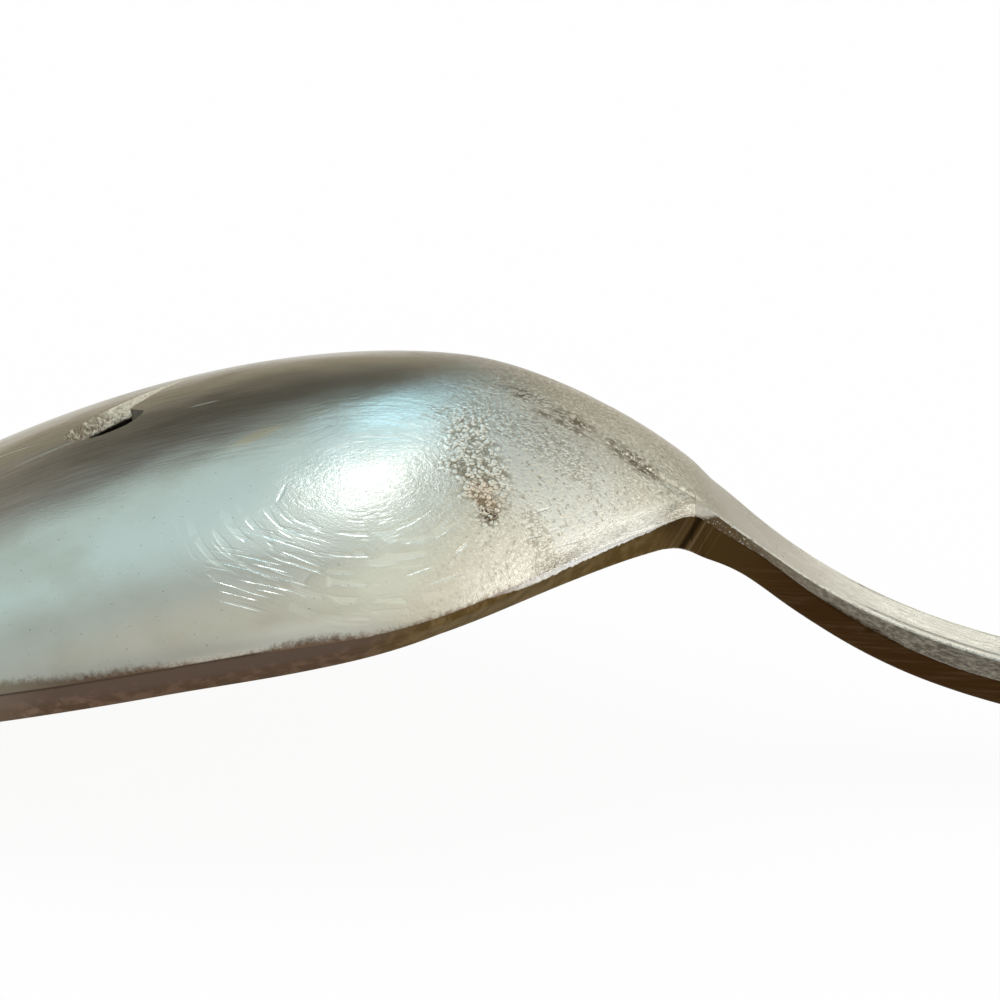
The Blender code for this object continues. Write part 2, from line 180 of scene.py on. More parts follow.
# the near bevel is worn wider along the start of the stem
def bevelWidth(x, side):
    worn = smoothStep(*form.bevelSpreadFrom, x) * smoothStep(*form.bevelSpreadTo, x)
    return chamferAt(x) + form.bevelSpread * worn * (np.asarray(side) < 0.0)


def cornerShare(x, side):
    return bevelWidth(x, side) / np.maximum(halfWidth(x), 2 * form.chamferStart)


def thicknessAt(x):
    grown = smoothStep(form.seamX, form.thickening, x)
    swell = form.rimSwell * smoothStep(form.widestX, form.widestX + form.rimSwellRun, x)
    swell = swell * smoothStep(*form.rimSwellEnd, x)
    swell = swell * (0.5 + 0.5 * smoothStep(*form.rimSwellEase, x))
    swell = swell + form.neckSwell * np.exp(-((x - form.seamX) / form.neckSwellReach) ** 2)
    return form.bowlThickness + (form.handleThickness - form.bowlThickness) * grown + swell


# drop of the edge below the middle; rim and stem meet in a soft turn at the neck
def edgeDrop(x):
    start, full, leave, end = form.edgeBlend
    atNeck = float(midHeight(0.0)) - form.rimAtNeck
    fade = 1.0 - smoothStep(0.0, end, x)
    onStem = chamferAt(x) + np.maximum(atNeck - chamferAt(x), 0.0) * fade
    rimDrop = midHeight(x) - rimHeight(x)
    soft = form.edgeSoftness * smoothStep(start, full, x) * (1.0 - smoothStep(leave, end, x))
    turned = (rimDrop + onStem + np.sqrt((rimDrop - onStem) ** 2 + soft ** 2)) / 2
    return np.where(x < start, rimDrop, turned)


# back of the spoon at x, with t from -1 at the near edge to 1 at the far one
def backPoint(x, t):
    x, t = np.broadcast_arrays(np.asarray(x, float), np.asarray(t, float))
    grown = smoothStep(form.widestX, form.neckBlendStart, x)
    roundness = form.wallRoundness + (form.neckRoundness - form.wallRoundness) * grown
    dome = 1.0 - np.clip(1.0 - t ** 2, 0.0, 1.0) ** roundness
    corner = cornerShare(x, t)
    flat = np.clip((np.abs(t) - 1.0 + corner) / corner, 0.0, 1.0)
    flatness = smoothStep(form.neckBlendStart, form.neckBlendStart + form.neckBlend, x)
    drop = edgeDrop(x) * (dome + (flat - dome) * flatness)
    return np.stack([x, halfWidth(x) * t, midHeight(x) - drop], axis=-1)


def backOver(x, y):
    return backPoint(x, np.clip(y / np.maximum(halfWidth(x), 1e-6), -0.995, 0.995))


# way through the metal from the back, leaning no more than the rim's edge face does
def inwardAt(x, t, step=0.2, edge=0.985):
    x, t = np.broadcast_arrays(np.asarray(x, float), np.asarray(t, float))
    tIn = np.clip(t, -edge, edge)
    xIn = np.clip(x, -form.bowlLength + 2 * step, form.handleLength - 2 * step)
    y = tIn * halfWidth(xIn)
    ahead = backOver(xIn + step, y) - backOver(xIn - step, y)
    aside = backPoint(xIn, tIn + 0.01) - backPoint(xIn, tIn - 0.01)
    normal = np.cross(ahead, aside)
    normal /= np.linalg.norm(normal, axis=-1, keepdims=True)
    level = np.linalg.norm(normal[..., :2], axis=-1, keepdims=True)
    lean = np.minimum(np.arctan2(level, normal[..., 2:]), steepestLean(xIn)[..., None])
    flatPart = normal[..., :2] / np.maximum(level, 1e-9) * np.sin(lean)
    return -np.concatenate([flatPart, np.cos(lean)], axis=-1)


def steepestLean(x):
    fromNeck = np.clip((form.seamX - x) / form.edgeFade, 0.0, 1.0)
    return math.radians(form.edgeTilt) * np.sqrt(fromNeck)


def frontPoint(x, t):
    x, t = np.broadcast_arrays(np.asarray(x, float), np.asarray(t, float))
    through = thicknessAt(x)[..., None]
    here = backPoint(x, t)
    dished = here + inwardAt(x, t) * through
    level = backPoint(x, 0.0 * t) + inwardAt(x, 0.0 * t) * through
    level[..., 1] = here[..., 1]
    levelled = smoothStep(form.seamX, form.seamX + form.frontBlend, x)
    return dished + (level - dished) * levelled[..., None]


def tongueHalfWidth(x):
    root = float(halfWidth(form.seamX)) - form.tongueMargin
    share = (x - form.seamX + form.tongueLength) / form.tongueLength
    half = form.tongueEndWidth / 2 + (root - form.tongueEndWidth / 2) * share
    half = half + form.tongueSwell * 4.0 * share * (1.0 - share)
    nose = np.clip((x - form.seamX + form.tongueLength) / form.tongueNose, 0.0, 1.0)
    return half * np.sqrt(1.0 - (1.0 - nose) ** 2)


def unit(v):
    return v / np.maximum(np.linalg.norm(v, axis=-1, keepdims=True), 1e-12)


# points at the shares u of a soft arc from start round a corner to end
def softCorner(start, corner, end, u):
    return (1 - u) ** 2 * start + 2 * u * (1 - u) * corner + u ** 2 * end


# rounds the corner between two straight runs: count points on a soft arc that starts size away
def roundCorner(before, corner, after, size, count):
    start = corner + unit(before - corner) * size
    end = corner + unit(after - corner) * size
    u = np.linspace(0.0, 1.0, count)[:, None]
    return softCorner(start[..., None, :], corner[..., None, :], end[..., None, :], u)


def straightRun(start, end, count):
    u = np.linspace(0.0, 1.0, count + 2)[1:-1][:, None]
    return start[..., None, :] * (1 - u) + end[..., None, :] * u


# the same line or loop again, in even steps
def evenSteps(loop, step):
    length = np.concatenate([[0.0], np.cumsum(np.linalg.norm(np.diff(loop, axis=0), axis=1))])
    even = np.linspace(0.0, length[-1], int(length[-1] / step))
    return np.stack([np.interp(even, length, loop[:, k]) for k in (0, 1)], -1)


def outwardOf(ahead):
    return np.stack([ahead[:, 1], -ahead[:, 0]], -1)


def makePiece(name, points, faces):
    mesh = bpy.data.meshes.new(name)
    mesh.from_pydata(toFrame(np.asarray(points)), [], faces)
    mesh.validate()
    piece = bpy.data.objects.new(name, mesh)
    bpy.context.scene.collection.objects.link(piece)
    return piece


def gridFaces(rows, columns, closed=False):
    last = columns if closed else columns - 1
    i, j = np.meshgrid(np.arange(rows - 1), np.arange(last), indexing="ij")
    k = (j + 1) % columns
    here, after = i * columns, (i + 1) * columns
    return np.stack([here + j, here + k, after + k, after + j], -1).reshape(-1, 4).tolist()


# closed tube through rows of points, with flat ends; its faces count on from first
def tubeFaces(rows, first=0):
    count, columns = rows.shape[:2]
    faces = gridFaces(count, columns, closed=True)
    faces.append(list(range(columns))[::-1])
    faces.append([(count - 1) * columns + k for k in range(columns)])
    return [[first + k for k in face] for face in faces]


def weld(piece, distance):
    bm = bmesh.new()
    bm.from_mesh(piece.data)
    bmesh.ops.remove_doubles(bm, verts=bm.verts, dist=distance)
    bmesh.ops.recalc_face_normals(bm, faces=bm.faces)
    bm.to_mesh(piece.data)
    bm.free()


def setAttribute(piece, name, values):
    kind, field = ("FLOAT_VECTOR", "vector") if values.ndim == 2 else ("FLOAT", "value")
    layer = piece.data.attributes.new(name, kind, "POINT")
    layer.data.foreach_set(field, values.astype(np.float32).ravel())


def vertexPlaces(piece):
    flat = np.empty(len(piece.data.vertices) * 3)
    piece.data.vertices.foreach_get("co", flat)
    return fromFrame(flat.reshape(-1, 3))


def moveVertices(piece, places):
    piece.data.vertices.foreach_set("co", toFrame(places).ravel())
    piece.data.update()


# values of the nearest of the points that a piece was made from
def carriedOver(places, points, values):
    tree = kdtree.KDTree(len(points))
    for k, point in enumerate(points):
        tree.insert(point, k)
    tree.balance()
    return values[[tree.find(place)[1] for place in places]]


# x and the distance across the back from the middle line, measured along the metal
def formPlaces(points, steps=16):
    x = points[:, 0]
    t = np.clip(points[:, 1] / np.maximum(halfWidth(x), 1e-6), -1.0, 1.0)
    rows = backPoint(x[:, None], t[:, None] * np.linspace(0.0, 1.0, steps + 1))
    across = np.linalg.norm(np.diff(rows, axis=1), axis=-1).sum(1)
    return np.stack([x, np.sign(t) * across, np.zeros_like(x)], -1)


def formPlace(x, y):
    return Vector(formPlaces(np.array([(x, y, 0.0)]))[0])


# small knocks along an edge: each sinks the metal inwards and down round one place
def knockEdge(piece, knocks):
    places = vertexPlaces(piece)
    for x, side, size, depth in knocks:
        away = np.linalg.norm(places - backPoint(x, side), axis=1) / size
        share = np.clip(1.0 - away ** 2, 0.0, 1.0) ** 2
        places += depth * share[:, None] * np.array((0.0, -0.6 * side, -0.8))
    moveVertices(piece, places)


# masks and the place on the back, for the finish
def markPiece(piece, points, masks, names):
    places = vertexPlaces(piece)
    carried = carriedOver(places, points, masks)
    setAttribute(piece, "form", formPlaces(places))
    for k, name in enumerate(names):
        setAttribute(piece, name, carried[:, k])
    return places


# Bowl: spokes run from the middle line, or from one centre in the round end, out to the rim
bowlMesh = {
    "heelSpokes": 150, "tipSpokes": 200, "rings": 121, "insideEvery": 6,
    "rimRound": 0.42, "shoulderRound": 0.26, "roundChange": (-16.5, -11.5),
    "neckRound": 0.06, "neckRoundChange": (-2.4, -0.3),
    "insideRound": 0.2, "roundPoints": 6, "edgePoints": 5, "masks": ("edge", "inside", "down", "toRim"),
    # x, side, size and depth of each knock on the rim
    "knocks": ((-4.9, -1, 0.4, 0.10), (-7.6, -1, 0.3, 0.04), (-12.2, -1, 0.4, 0.04), (-2.6, 1, 0.35, 0.06),
               (-9.0, 1, 0.5, 0.06), (-15.0, 1, 0.5, 0.05), (-27.0, -1, 0.6, 0.05), (-33.0, 1, 0.6, 0.06)),
}
tipReach = form.bowlLength + form.widestX                      # from the widest place to the tip


def bowlSpokes():
    heel = np.linspace(heelX, form.widestX, bowlMesh["heelSpokes"])
    turn = np.radians(np.linspace(-90.0, 90.0, bowlMesh["tipSpokes"] + 2)[1:-1])
    return heel, turn


def spokePlaces(r):
    heel, turn = bowlSpokes()
    nearX = np.repeat(heel[:, None], r.shape[1], 1)
    near, tip = heel.size, heel.size + turn.size
    tipX = form.widestX - tipReach * r[near:tip] * np.cos(turn)[:, None]
    tipY = form.bowlWidth / 2 * r[near:tip] * np.sin(turn)[:, None]
    tipT = np.clip(tipY / np.maximum(halfWidth(tipX), 1e-9), -1.0, 1.0)
    return np.vstack([nearX, tipX, nearX[::-1]]), np.vstack([-r[:near], tipT, r[tip:]])


# level direction straight out of the outline at each spoke's end
def spokeOutward():
    heel, turn = bowlSpokes()
    slope = (halfWidth(heel + 0.02) - halfWidth(heel - 0.02)) / 0.04
    near = unit(np.stack([-slope, -np.ones_like(slope)], -1))
    tip = unit(np.stack([-np.cos(turn) / tipReach, np.sin(turn) / (form.bowlWidth / 2)], -1))
    far = near[::-1] * (1.0, -1.0)
    return np.vstack([near, tip, far])


def bowlBody():
    spokes = 2 * bowlMesh["heelSpokes"] + bowlMesh["tipSpokes"]
    fine = np.repeat(np.linspace(0.0, math.pi / 2, 600)[None], spokes, 0)
    finePoints = backPoint(*spokePlaces(np.sin(fine)))
    corner = finePoints[:, -1]
    outward = spokeOutward()
    lean = steepestLean(corner[:, 0])[:, None]
    inward = -np.concatenate([outward * np.sin(lean), np.cos(lean)], -1)
    inner = corner + inward * thicknessAt(corner[:, 0])[:, None]

    # the back ends where the soft corner of the rim starts
    toRim = np.linalg.norm(finePoints - corner[:, None], axis=-1)
    shoulderShare = smoothStep(*bowlMesh["roundChange"], corner[:, 0])
    rounding = bowlMesh["rimRound"] + (bowlMesh["shoulderRound"] - bowlMesh["rimRound"]) * shoulderShare
    neckShare = smoothStep(*bowlMesh["neckRoundChange"], corner[:, 0])
    rounding = rounding + (bowlMesh["neckRound"] - rounding) * neckShare
    end = np.array([np.interp(-rounding[i], -toRim[i], fine[i]) for i in range(spokes)])
    phi = end[:, None] * np.linspace(0.0, 1.0, bowlMesh["rings"])[None]
    back = backPoint(*spokePlaces(np.sin(phi)))

    # soft outer corner, edge face, soft inner corner
    count = bowlMesh["roundPoints"]
    u = np.linspace(0.0, 1.0, count + 1)[1:, None]
    startEdge = corner + inward * np.minimum(rounding, form.bowlThickness * 0.45)[:, None]
    outer = softCorner(back[:, -1:], corner[:, None], startEdge[:, None], u)
    endEdge = inner - inward * bowlMesh["insideRound"]
    edge = straightRun(startEdge, endEdge, bowlMesh["edgePoints"])

    # the dished inside, on every few rings of the back
    every = bowlMesh["insideEvery"]
    sparse = phi[:, ::every][:, ::-1]
    xi, ti = spokePlaces(np.sin(sparse))
    over = backPoint(xi, ti)
    rise = np.gradient(over[..., 2], axis=1)
    run = np.linalg.norm(np.gradient(over[..., :2], axis=1), axis=-1)
    slope = np.arctan2(rise, np.maximum(run, 1e-6))                 # rings run inwards here
    leanIn = np.clip(slope, 0.0, lean)
    leanIn[:, -1] = 0.0                                             # straight down on the middle line
    share = (np.sin(sparse) ** 2)[..., None]
    spokeWay = unit(back[:, -1, :2] - back[:, 0, :2])[:, None]
    way = unit(spokeWay + (outward[:, None] - spokeWay) * share)
    through = -np.concatenate([way * np.sin(leanIn)[..., None], np.cos(leanIn)[..., None]], -1)
    inside = over + through * thicknessAt(xi)[..., None]
    inCorner = softCorner(endEdge[:, None], inner[:, None], inside[:, 1:2], u)
    inside = inside[:, 2:]

    # masks: the edge face, the inside, the way down round the rim, the distance from its corner
    rows = np.concatenate([back, outer, edge, endEdge[:, None], inCorner, inside], 1)
    rings, hidden, flat = back.shape[1], inside.shape[1], bowlMesh["edgePoints"] + 1
    grow = np.linspace(0, 1, count + 1)[1:]
    shrink = np.linspace(1, 0, count + 1)[1:]
    downward = np.linspace(0, 1, 2 * count + flat + 1)[1:]
    edgeMask = np.concatenate([np.zeros(rings), grow, np.ones(flat), shrink, np.zeros(hidden)])
    insideMask = np.concatenate([np.zeros(rings + count + flat), grow, np.ones(hidden)])
    downMask = np.concatenate([np.zeros(rings), downward, np.ones(hidden)])
    masks = np.stack([edgeMask, insideMask, downMask, 0.0 * edgeMask], -1)
    masks = np.repeat(masks[None], spokes, 0)
    masks[:, :rings, 3] = np.linalg.norm(back - corner[:, None], axis=-1)
    masks[:, -hidden:, 3] = np.linalg.norm(inside - inner[:, None], axis=-1)

    columns = rows.shape[1]
    faces = gridFaces(spokes, columns)
    # the butt face at the heel, in strips from the back to the inside
    stops = range(rings - 1 - every, -1, -every)
    for base in (0, (spokes - 1) * columns):
        around = [base + k for k in range(columns)]
        rim = around[rings:columns - hidden]
        under = around[len(rim) + rings - 1:]
        strips = [around[stops[0]:rings] + rim]
        strips += [around[low:low + every + 1] + under[k:k + 2] for k, low in enumerate(stops[1:])]
        faces += strips if base == 0 else [strip[::-1] for strip in strips]
    piece = makePiece("bowl_shell", rows.reshape(-1, 3), faces)
    weld(piece, 1e-7)
    return piece, rows.reshape(-1, 3), masks.reshape(-1, 4)


bowlShell, bowlPoints, bowlMasks = bowlBody()
print("bowl shell:", len(bowlShell.data.vertices), "points")


def applyModifiers(piece):
    deps = bpy.context.evaluated_depsgraph_get()
    made = bpy.data.meshes.new_from_object(piece.evaluated_get(deps))
    piece.modifiers.clear()
    piece.data = made


def cutWith(piece, cutters):
    for cutter in cutters:
        boolean = piece.modifiers.new(cutter.name, "BOOLEAN")
        boolean.operation = "DIFFERENCE"
        boolean.solver = "EXACT"
        boolean.material_mode = "TRANSFER"                          # cut walls keep the cutter's finish
        boolean.object = cutter
    applyModifiers(piece)
    for cutter in cutters:
        bpy.data.objects.remove(cutter, do_unlink=True)


# Pierced whorl: slanting teardrops round one centre, sawn with rough walls
whorl = {
    "centreX": -28.5, "radius": 5.0, "count": 3, "start": -7.0,
    "dropLength": 8.7, "dropWidth": 3.3, "lean": 68.0,
    "above": 2.5, "below": 3.2, "levels": 40, "step": 0.12, "roughness": 0.05, "grain": 4.5,
    "taper": 0.15, "tailDraw": 0.75, "tailFrom": (0.9, 1.7), "smoothTip": 1.5,
    "notchRun": (0.3, 2.6), "notchAside": (-1.9, -0.12), "notchDepth": 3.0,
}


def dropOutline():
    radius = whorl["dropWidth"] / 2
    point = whorl["dropLength"] - radius
    touch = math.acos(radius / point)
    arc = np.linspace(touch, 2 * math.pi - touch, 80)
    bow = radius * np.stack([np.cos(arc), np.sin(arc)], -1)
    outline = evenSteps(np.vstack([bow, [(point, 0.0)], bow[:1]]), whorl["step"])[:-1]
    # one side of the tail is drawn in, like a comma
    drawnIn = whorl["tailDraw"] * smoothStep(*whorl["tailFrom"], outline[:, 0]) * (outline[:, 1] < 0.0)
    return outline * np.stack([np.ones(len(outline)), 1.0 - drawnIn], -1)


def dropCutters():
    cutters = []
    frames = []
    outline = dropOutline()
    outward = outwardOf(unit(np.roll(outline, -1, 0) - np.roll(outline, 1, 0)))
    tip = outline[:, 0].max()
    sawn = whorl["roughness"] * smoothStep(tip, tip - whorl["smoothTip"], outline[:, 0])
    for number in range(whorl["count"]):
        turn = math.radians(whorl["start"]) + 2 * math.pi * number / whorl["count"]
        x = whorl["centreX"] + whorl["radius"] * math.cos(turn)
        y = whorl["radius"] * math.sin(turn)
        base = backOver(x, y)
        axis = -inwardAt(x, y / halfWidth(x))
        heading = turn + math.radians(whorl["lean"])
        lengthwise = np.array((math.cos(heading), math.sin(heading), 0.0))
        lengthwise = unit(lengthwise - axis * (lengthwise @ axis))
        across = np.cross(axis, lengthwise)
        frames.append((base, lengthwise, across))
        rings = []
        for height in np.linspace(-whorl["below"], whorl["above"], whorl["levels"]):
            wide = outline * (1.0 + whorl["taper"] * height)             # narrower towards the inside
            ring = base + wide[:, :1] * lengthwise + wide[:, 1:] * across + axis * height
            rough = np.array([noise.noise(Vector(p) * whorl["grain"]) for p in ring]) * sawn
            rings.append(ring + rough[:, None] * (outward[:, :1] * lengthwise + outward[:, 1:] * across))
        faces = tubeFaces(np.array(rings))
        cutters.append(makePiece("drop_%d" % (number + 1), np.vstack(rings), faces))
    return cutters, frames


def between(values, limits):
    return (values > limits[0]) & (values < limits[1])


# 1 in the notch where a comma's tail starts
def notchShare(places, frames):
    share = np.zeros(len(places))
    for base, lengthwise, across in frames:
        away = places - base
        here = between(away @ lengthwise, whorl["notchRun"]) & between(away @ across, whorl["notchAside"])
        share[here & (np.abs(away[:, 2]) < whorl["notchDepth"])] = 1.0
    return share


# Handle: closed rows of points from the tongue's nose to the round end
handleMesh = {
    "tongueRows": 70, "neckRows": 100, "stemRows": 150, "endRows": 26,
    "backPoints": 12, "bevelPoints": 3, "sidePoints": 5, "underPoints": 8, "roundPoints": 4,
    "bevelRound": 0.05, "edgeRound": 0.06, "underRound": 0.22, "noseStart": 14.0, "endStop": 87.0,
    "neckReach": 14.0, "tongueBevel": 0.025,
    "lineInset": (0.58, 0.17), "lineWidth": 0.13, "lineDepth": 0.09, "lineStart": (6.4, 8.2),
    "lineFirstInset": 0.3, "lineFirstWidth": 0.07, "lineRun": 4.0, "lipStart": (0.2, 1.2),
    "masks": ("edge", "bevel", "under", "lip", "groove", "slide"),
    # x, side, size and depth of each knock on the edge
    "knocks": ((7.3, -1, 0.35, 0.08), (3.4, -1, 0.3, 0.04), (12.0, 1, 0.4, 0.06), (28.0, -1, 0.4, 0.05),
               (40.0, 1, 0.5, 0.06), (55.0, -1, 0.5, 0.06)),
}
runPoints = handleMesh["backPoints"] + 4                       # with the groove and the lip


def noseStations(turn):
    return noseX + form.tongueNose * (1.0 - np.cos(np.radians(turn)))


def handleStations():
    nose = noseStations(np.linspace(handleMesh["noseStart"], 90.0, handleMesh["tongueRows"] // 3))
    root = np.linspace(nose[-1], stemStart, 2 * handleMesh["tongueRows"] // 3)
    straight = form.handleLength - form.endRounding
    neck = np.linspace(stemStart, handleMesh["neckReach"], handleMesh["neckRows"])
    stem = np.linspace(handleMesh["neckReach"], straight, handleMesh["stemRows"])[1:]
    bow = np.radians(np.linspace(0.0, handleMesh["endStop"], handleMesh["endRows"]))[1:]
    stem = np.concatenate([neck, stem, straight + form.endRounding * np.sin(bow)])
    return np.concatenate([nose, root[1:]]), stem


# the tongue's edge rises out of the bowl's back near the neck and sinks into the stem
def proudAt(x):
    rise = smoothStep(noseX + form.proudStart, stemStart - form.proudRun, x)
    return form.tongueProud * rise * smoothStep(form.proudEnd, stemStart, x)


# one side of a section: along the back, over the bevel, down the edge and back underneath
def sectionSide(run, bevelTop, bevelFoot, under, underRun, sizes):
    count = handleMesh["roundPoints"]
    first = roundCorner(run[:, -1], bevelTop, bevelFoot, sizes[0], count)
    second = roundCorner(bevelTop, bevelFoot, under, sizes[1], count)
    third = roundCorner(bevelFoot, under, underRun[:, 0], sizes[2], count)
    bevel = straightRun(first[:, -1], second[:, 0], handleMesh["bevelPoints"])
    edge = straightRun(second[:, -1], third[:, 0], handleMesh["sidePoints"])
    return np.concatenate([run, first, bevel, second, edge, third, underRun], 1)


def stemSide(x, side):
    half = halfWidth(x)
    bevel = bevelWidth(x, side)
    sizes = [np.minimum(handleMesh[name], limit)[:, None] for name, limit in (
        ("bevelRound", bevel * 0.4), ("edgeRound", bevel * 0.4), ("underRound", half * 0.3))]
    stop = half - bevel - 1.5 * sizes[0][:, 0]
    # the line runs in from the edge as the stem starts
    low, high = handleMesh["lineStart"]
    grown = smoothStep(low - handleMesh["lineRun"], high, x)
    first = handleMesh["lineFirstInset"]
    inset = first + (handleMesh["lineInset"][0 if side < 0 else 1] - first) * grown
    line = np.maximum(half - bevel - inset, 0.5 * stop)
    first = handleMesh["lineFirstWidth"]
    width = first + (handleMesh["lineWidth"] - first) * grown
    width = np.minimum(width, np.minimum(0.1 * stop, 0.7 * (stop - line)))
    u = np.linspace(0.0, 1.0, handleMesh["backPoints"])[None]
    y = np.concatenate([u * (line - width)[:, None], line[:, None],
                        np.stack([line + width, (line + width + stop) / 2, stop], -1)], 1)
    run = backPoint(x[:, None], side * y / half[:, None])
    run[:, u.size, 2] -= handleMesh["lineDepth"] * smoothStep(low, high, x)
    run[:, :u.size, 2] += proudAt(x)[:, None]
    bevelTop = backPoint(x, side * (1.0 - cornerShare(x, side)))
    bevelFoot = backPoint(x, side * np.ones_like(x))
    under = frontPoint(x, side * np.ones_like(x))
    inner = (half - 1.5 * sizes[2][:, 0])[:, None] * np.linspace(1.0, 0.0, handleMesh["underPoints"])[None]
    underRun = frontPoint(x[:, None], side * inner / half[:, None])
    return sectionSide(run, bevelTop, bevelFoot, under, underRun, sizes)


def inMetal(x, y, depth):
    t = y / halfWidth(x)
    return backPoint(x, t) + inwardAt(x, t) * np.asarray(depth)[..., None]


def tongueSide(x):
    half = tongueHalfWidth(x)
    proud = proudAt(x)
    bevel = np.minimum(handleMesh["tongueBevel"], 0.35 * half)
    sizes = [(0.4 * bevel)[:, None], (0.4 * bevel)[:, None], (0.3 * bevel)[:, None]]
    y = (half - bevel - 0.6 * bevel)[:, None] * np.linspace(0.0, 1.0, runPoints)[None]
    run = inMetal(x[:, None], y, np.repeat(-proud[:, None], runPoints, 1))
    bevelTop = inMetal(x, half - bevel, -proud)
    bevelFoot = inMetal(x, half, bevel * 0.8 - proud)
    under = inMetal(x, half, np.full_like(x, tongueDepth))
    inner = (half - 0.6 * bevel)[:, None] * np.linspace(1.0, 0.0, handleMesh["underPoints"])[None]
    underRun = inMetal(x[:, None], inner, np.full(inner.shape, tongueDepth))
    return sectionSide(run, bevelTop, bevelFoot, under, underRun, sizes)


def handleBody():
    tongue, stem = handleStations()
    lap = tongueSide(tongue)
    side = np.concatenate([lap, stemSide(stem, 1.0)], 0)
    near = np.concatenate([lap * (1.0, -1.0, 1.0), stemSide(stem, -1.0)], 0)
    rows = np.concatenate([side, near[:, -2:0:-1]], 1)
    piece = makePiece("handle_forged", rows.reshape(-1, 3), tubeFaces(rows))
    weld(piece, 1e-8)

    # stretches of one side; slide runs from 0 at the bevel's top to 1 at its foot
    half = handleMesh["roundPoints"] // 2
    bevelEnd = runPoints + 2 * handleMesh["roundPoints"] + handleMesh["bevelPoints"]
    underStart = side.shape[1] - handleMesh["underPoints"]
    groove = handleMesh["backPoints"]
    stretches = {"edge": (bevelEnd - half, underStart), "bevel": (runPoints + half, bevelEnd - half),
                 "under": (underStart, None), "lip": (runPoints - 1, runPoints + handleMesh["roundPoints"]),
                 "groove": (groove, groove + 1), "slide": (bevelEnd, None)}
    masks = np.zeros((side.shape[1], len(handleMesh["masks"])))
    for k, name in enumerate(handleMesh["masks"]):
        masks[slice(*stretches[name]), k] = 1.0
    masks[runPoints:bevelEnd, -1] = np.linspace(0.0, 1.0, bevelEnd - runPoints)
    masks = np.repeat(np.concatenate([masks, masks[-2:0:-1]])[None], len(rows), 0)
    masks[:tongue.size] = 0.0
    masks[..., 3] *= smoothStep(*handleMesh["lipStart"], rows[..., 0])
    masks[..., 4] *= smoothStep(*handleMesh["lineStart"], rows[..., 0])
    masks[-1] = (1.0, 0.0, 0.0, 0.0, 0.0, 1.0)                     # the end face is all edge
    return piece, rows.reshape(-1, 3), masks.reshape(-1, len(handleMesh["masks"]))


# Solder: a film in the butt of the joint and a thin ribbon, filed flush, round the tongue
solderBead = {
    "spacing": 0.06, "unevenness": 0.006, "lumps": 1.9,
    "filmLap": 0.02, "filmEdge": 0.97, "filmPoints": (4, 12),
    # out from the tongue's edge, height over the back, share of the tongue's own rise
    "ribbon": ((-0.035, -0.004, 1.0), (0.0, 0.004, 1.0), (0.06, 0.004, 0.3), (0.11, -0.004, 0.0),
               (0.06, -0.06, 0.0), (-0.02, -0.06, 0.0)),
}


def filmRows():
    edge = solderBead["filmEdge"]
    beside, middle = solderBead["filmPoints"]
    across = beside + middle
    stations = np.linspace(heelX - solderBead["filmLap"], stemStart + solderBead["filmLap"], 4)
    rows = []
    for x in stations:
        share = float(tongueHalfWidth(stemStart) + form.fitGap) / float(halfWidth(x))
        t = np.concatenate([np.linspace(-edge, -share, beside), np.linspace(-share, share, middle),
                            np.linspace(share, edge, beside)])
        sunk = np.full(t.size, form.fitGap)
        sunk[beside:across] = tongueDepth + form.fitGap                # lower where the tongue lies
        back = backPoint(x, t) + inwardAt(np.full_like(t, x), t) * sunk[:, None]
        front = frontPoint(np.full(across, x), np.linspace(edge, -edge, across))
        front[:, 2] += form.fitGap
        rows.append(np.vstack([back, front]))
    return np.array(rows)


# the edge of the raised part: the tongue's, and on past the joint until it sinks into the stem
def raisedEdge(x):
    onStem = halfWidth(x) - chamferAt(x) - form.raisedInset
    atStart = float(halfWidth(stemStart) - chamferAt(stemStart) - form.raisedInset)
    step = tongueHalfWidth(stemStart) - atStart
    onStem = onStem + step * smoothStep(form.raisedEnd, stemStart, x)
    return np.where(x < stemStart, tongueHalfWidth(x), onStem)


# the tongue's outline from its near root round the nose to the far one, in even steps
def tongueOutline():
    nose = noseStations(np.linspace(90.0, handleMesh["noseStart"], 24))
    x = np.concatenate([np.linspace(form.raisedEnd, nose[0], 140), nose[1:]])
    near = np.stack([x, -raisedEdge(x)], -1)
    return evenSteps(np.vstack([near, near[::-1] * (1.0, -1.0)]), solderBead["spacing"])


def ribbonRows():
    outline = tongueOutline()
    outward = outwardOf(unit(np.gradient(outline, axis=0)))
    outward *= np.sign((outward * (outline - (-3.0, 0.0))).sum(1, keepdims=True))      # away from the middle
    lumps = np.array([noise.noise(Vector((*p, 0.7)) * solderBead["lumps"]) for p in outline])
    lumps = lumps * solderBead["unevenness"]
    columns = []
    for out, height, share in solderBead["ribbon"]:
        x, y = (outline + outward * out).T
        rise = height + share * proudAt(outline[:, 0]) + lumps
        columns.append(inMetal(x, y, -rise))
    return np.stack(columns, 1)


def beadBody():
    film = filmRows()
    ribbon = ribbonRows()
    points = np.vstack([film.reshape(-1, 3), ribbon.reshape(-1, 3)])
    faces = tubeFaces(film)
    faces += tubeFaces(ribbon, film.shape[0] * film.shape[1])
    piece = makePiece("solder_bead", points, faces)
    weld(piece, 1e-8)
    return piece


def rebateCutter():
    tongue, _ = handleStations()
    x = np.append(tongue, form.seamX + 0.2)                         # runs out past the heel
    slices = np.linspace(-1.0, 1.0, 21)
    y = (tongueHalfWidth(np.minimum(x, form.seamX)) + form.fitGap)[:, None] * slices[None]
    grid = np.repeat(x[:, None], slices.size, 1)
    upper = inMetal(grid, y, np.full(grid.shape, -lapDepth))
    lower = inMetal(grid, y, np.full(grid.shape, lapDepth))
    loop = np.concatenate([upper, lower[:, ::-1]], 1)
    piece = makePiece("rebate", loop.reshape(-1, 3), tubeFaces(loop))
    weld(piece, 1e-8)
    return piece


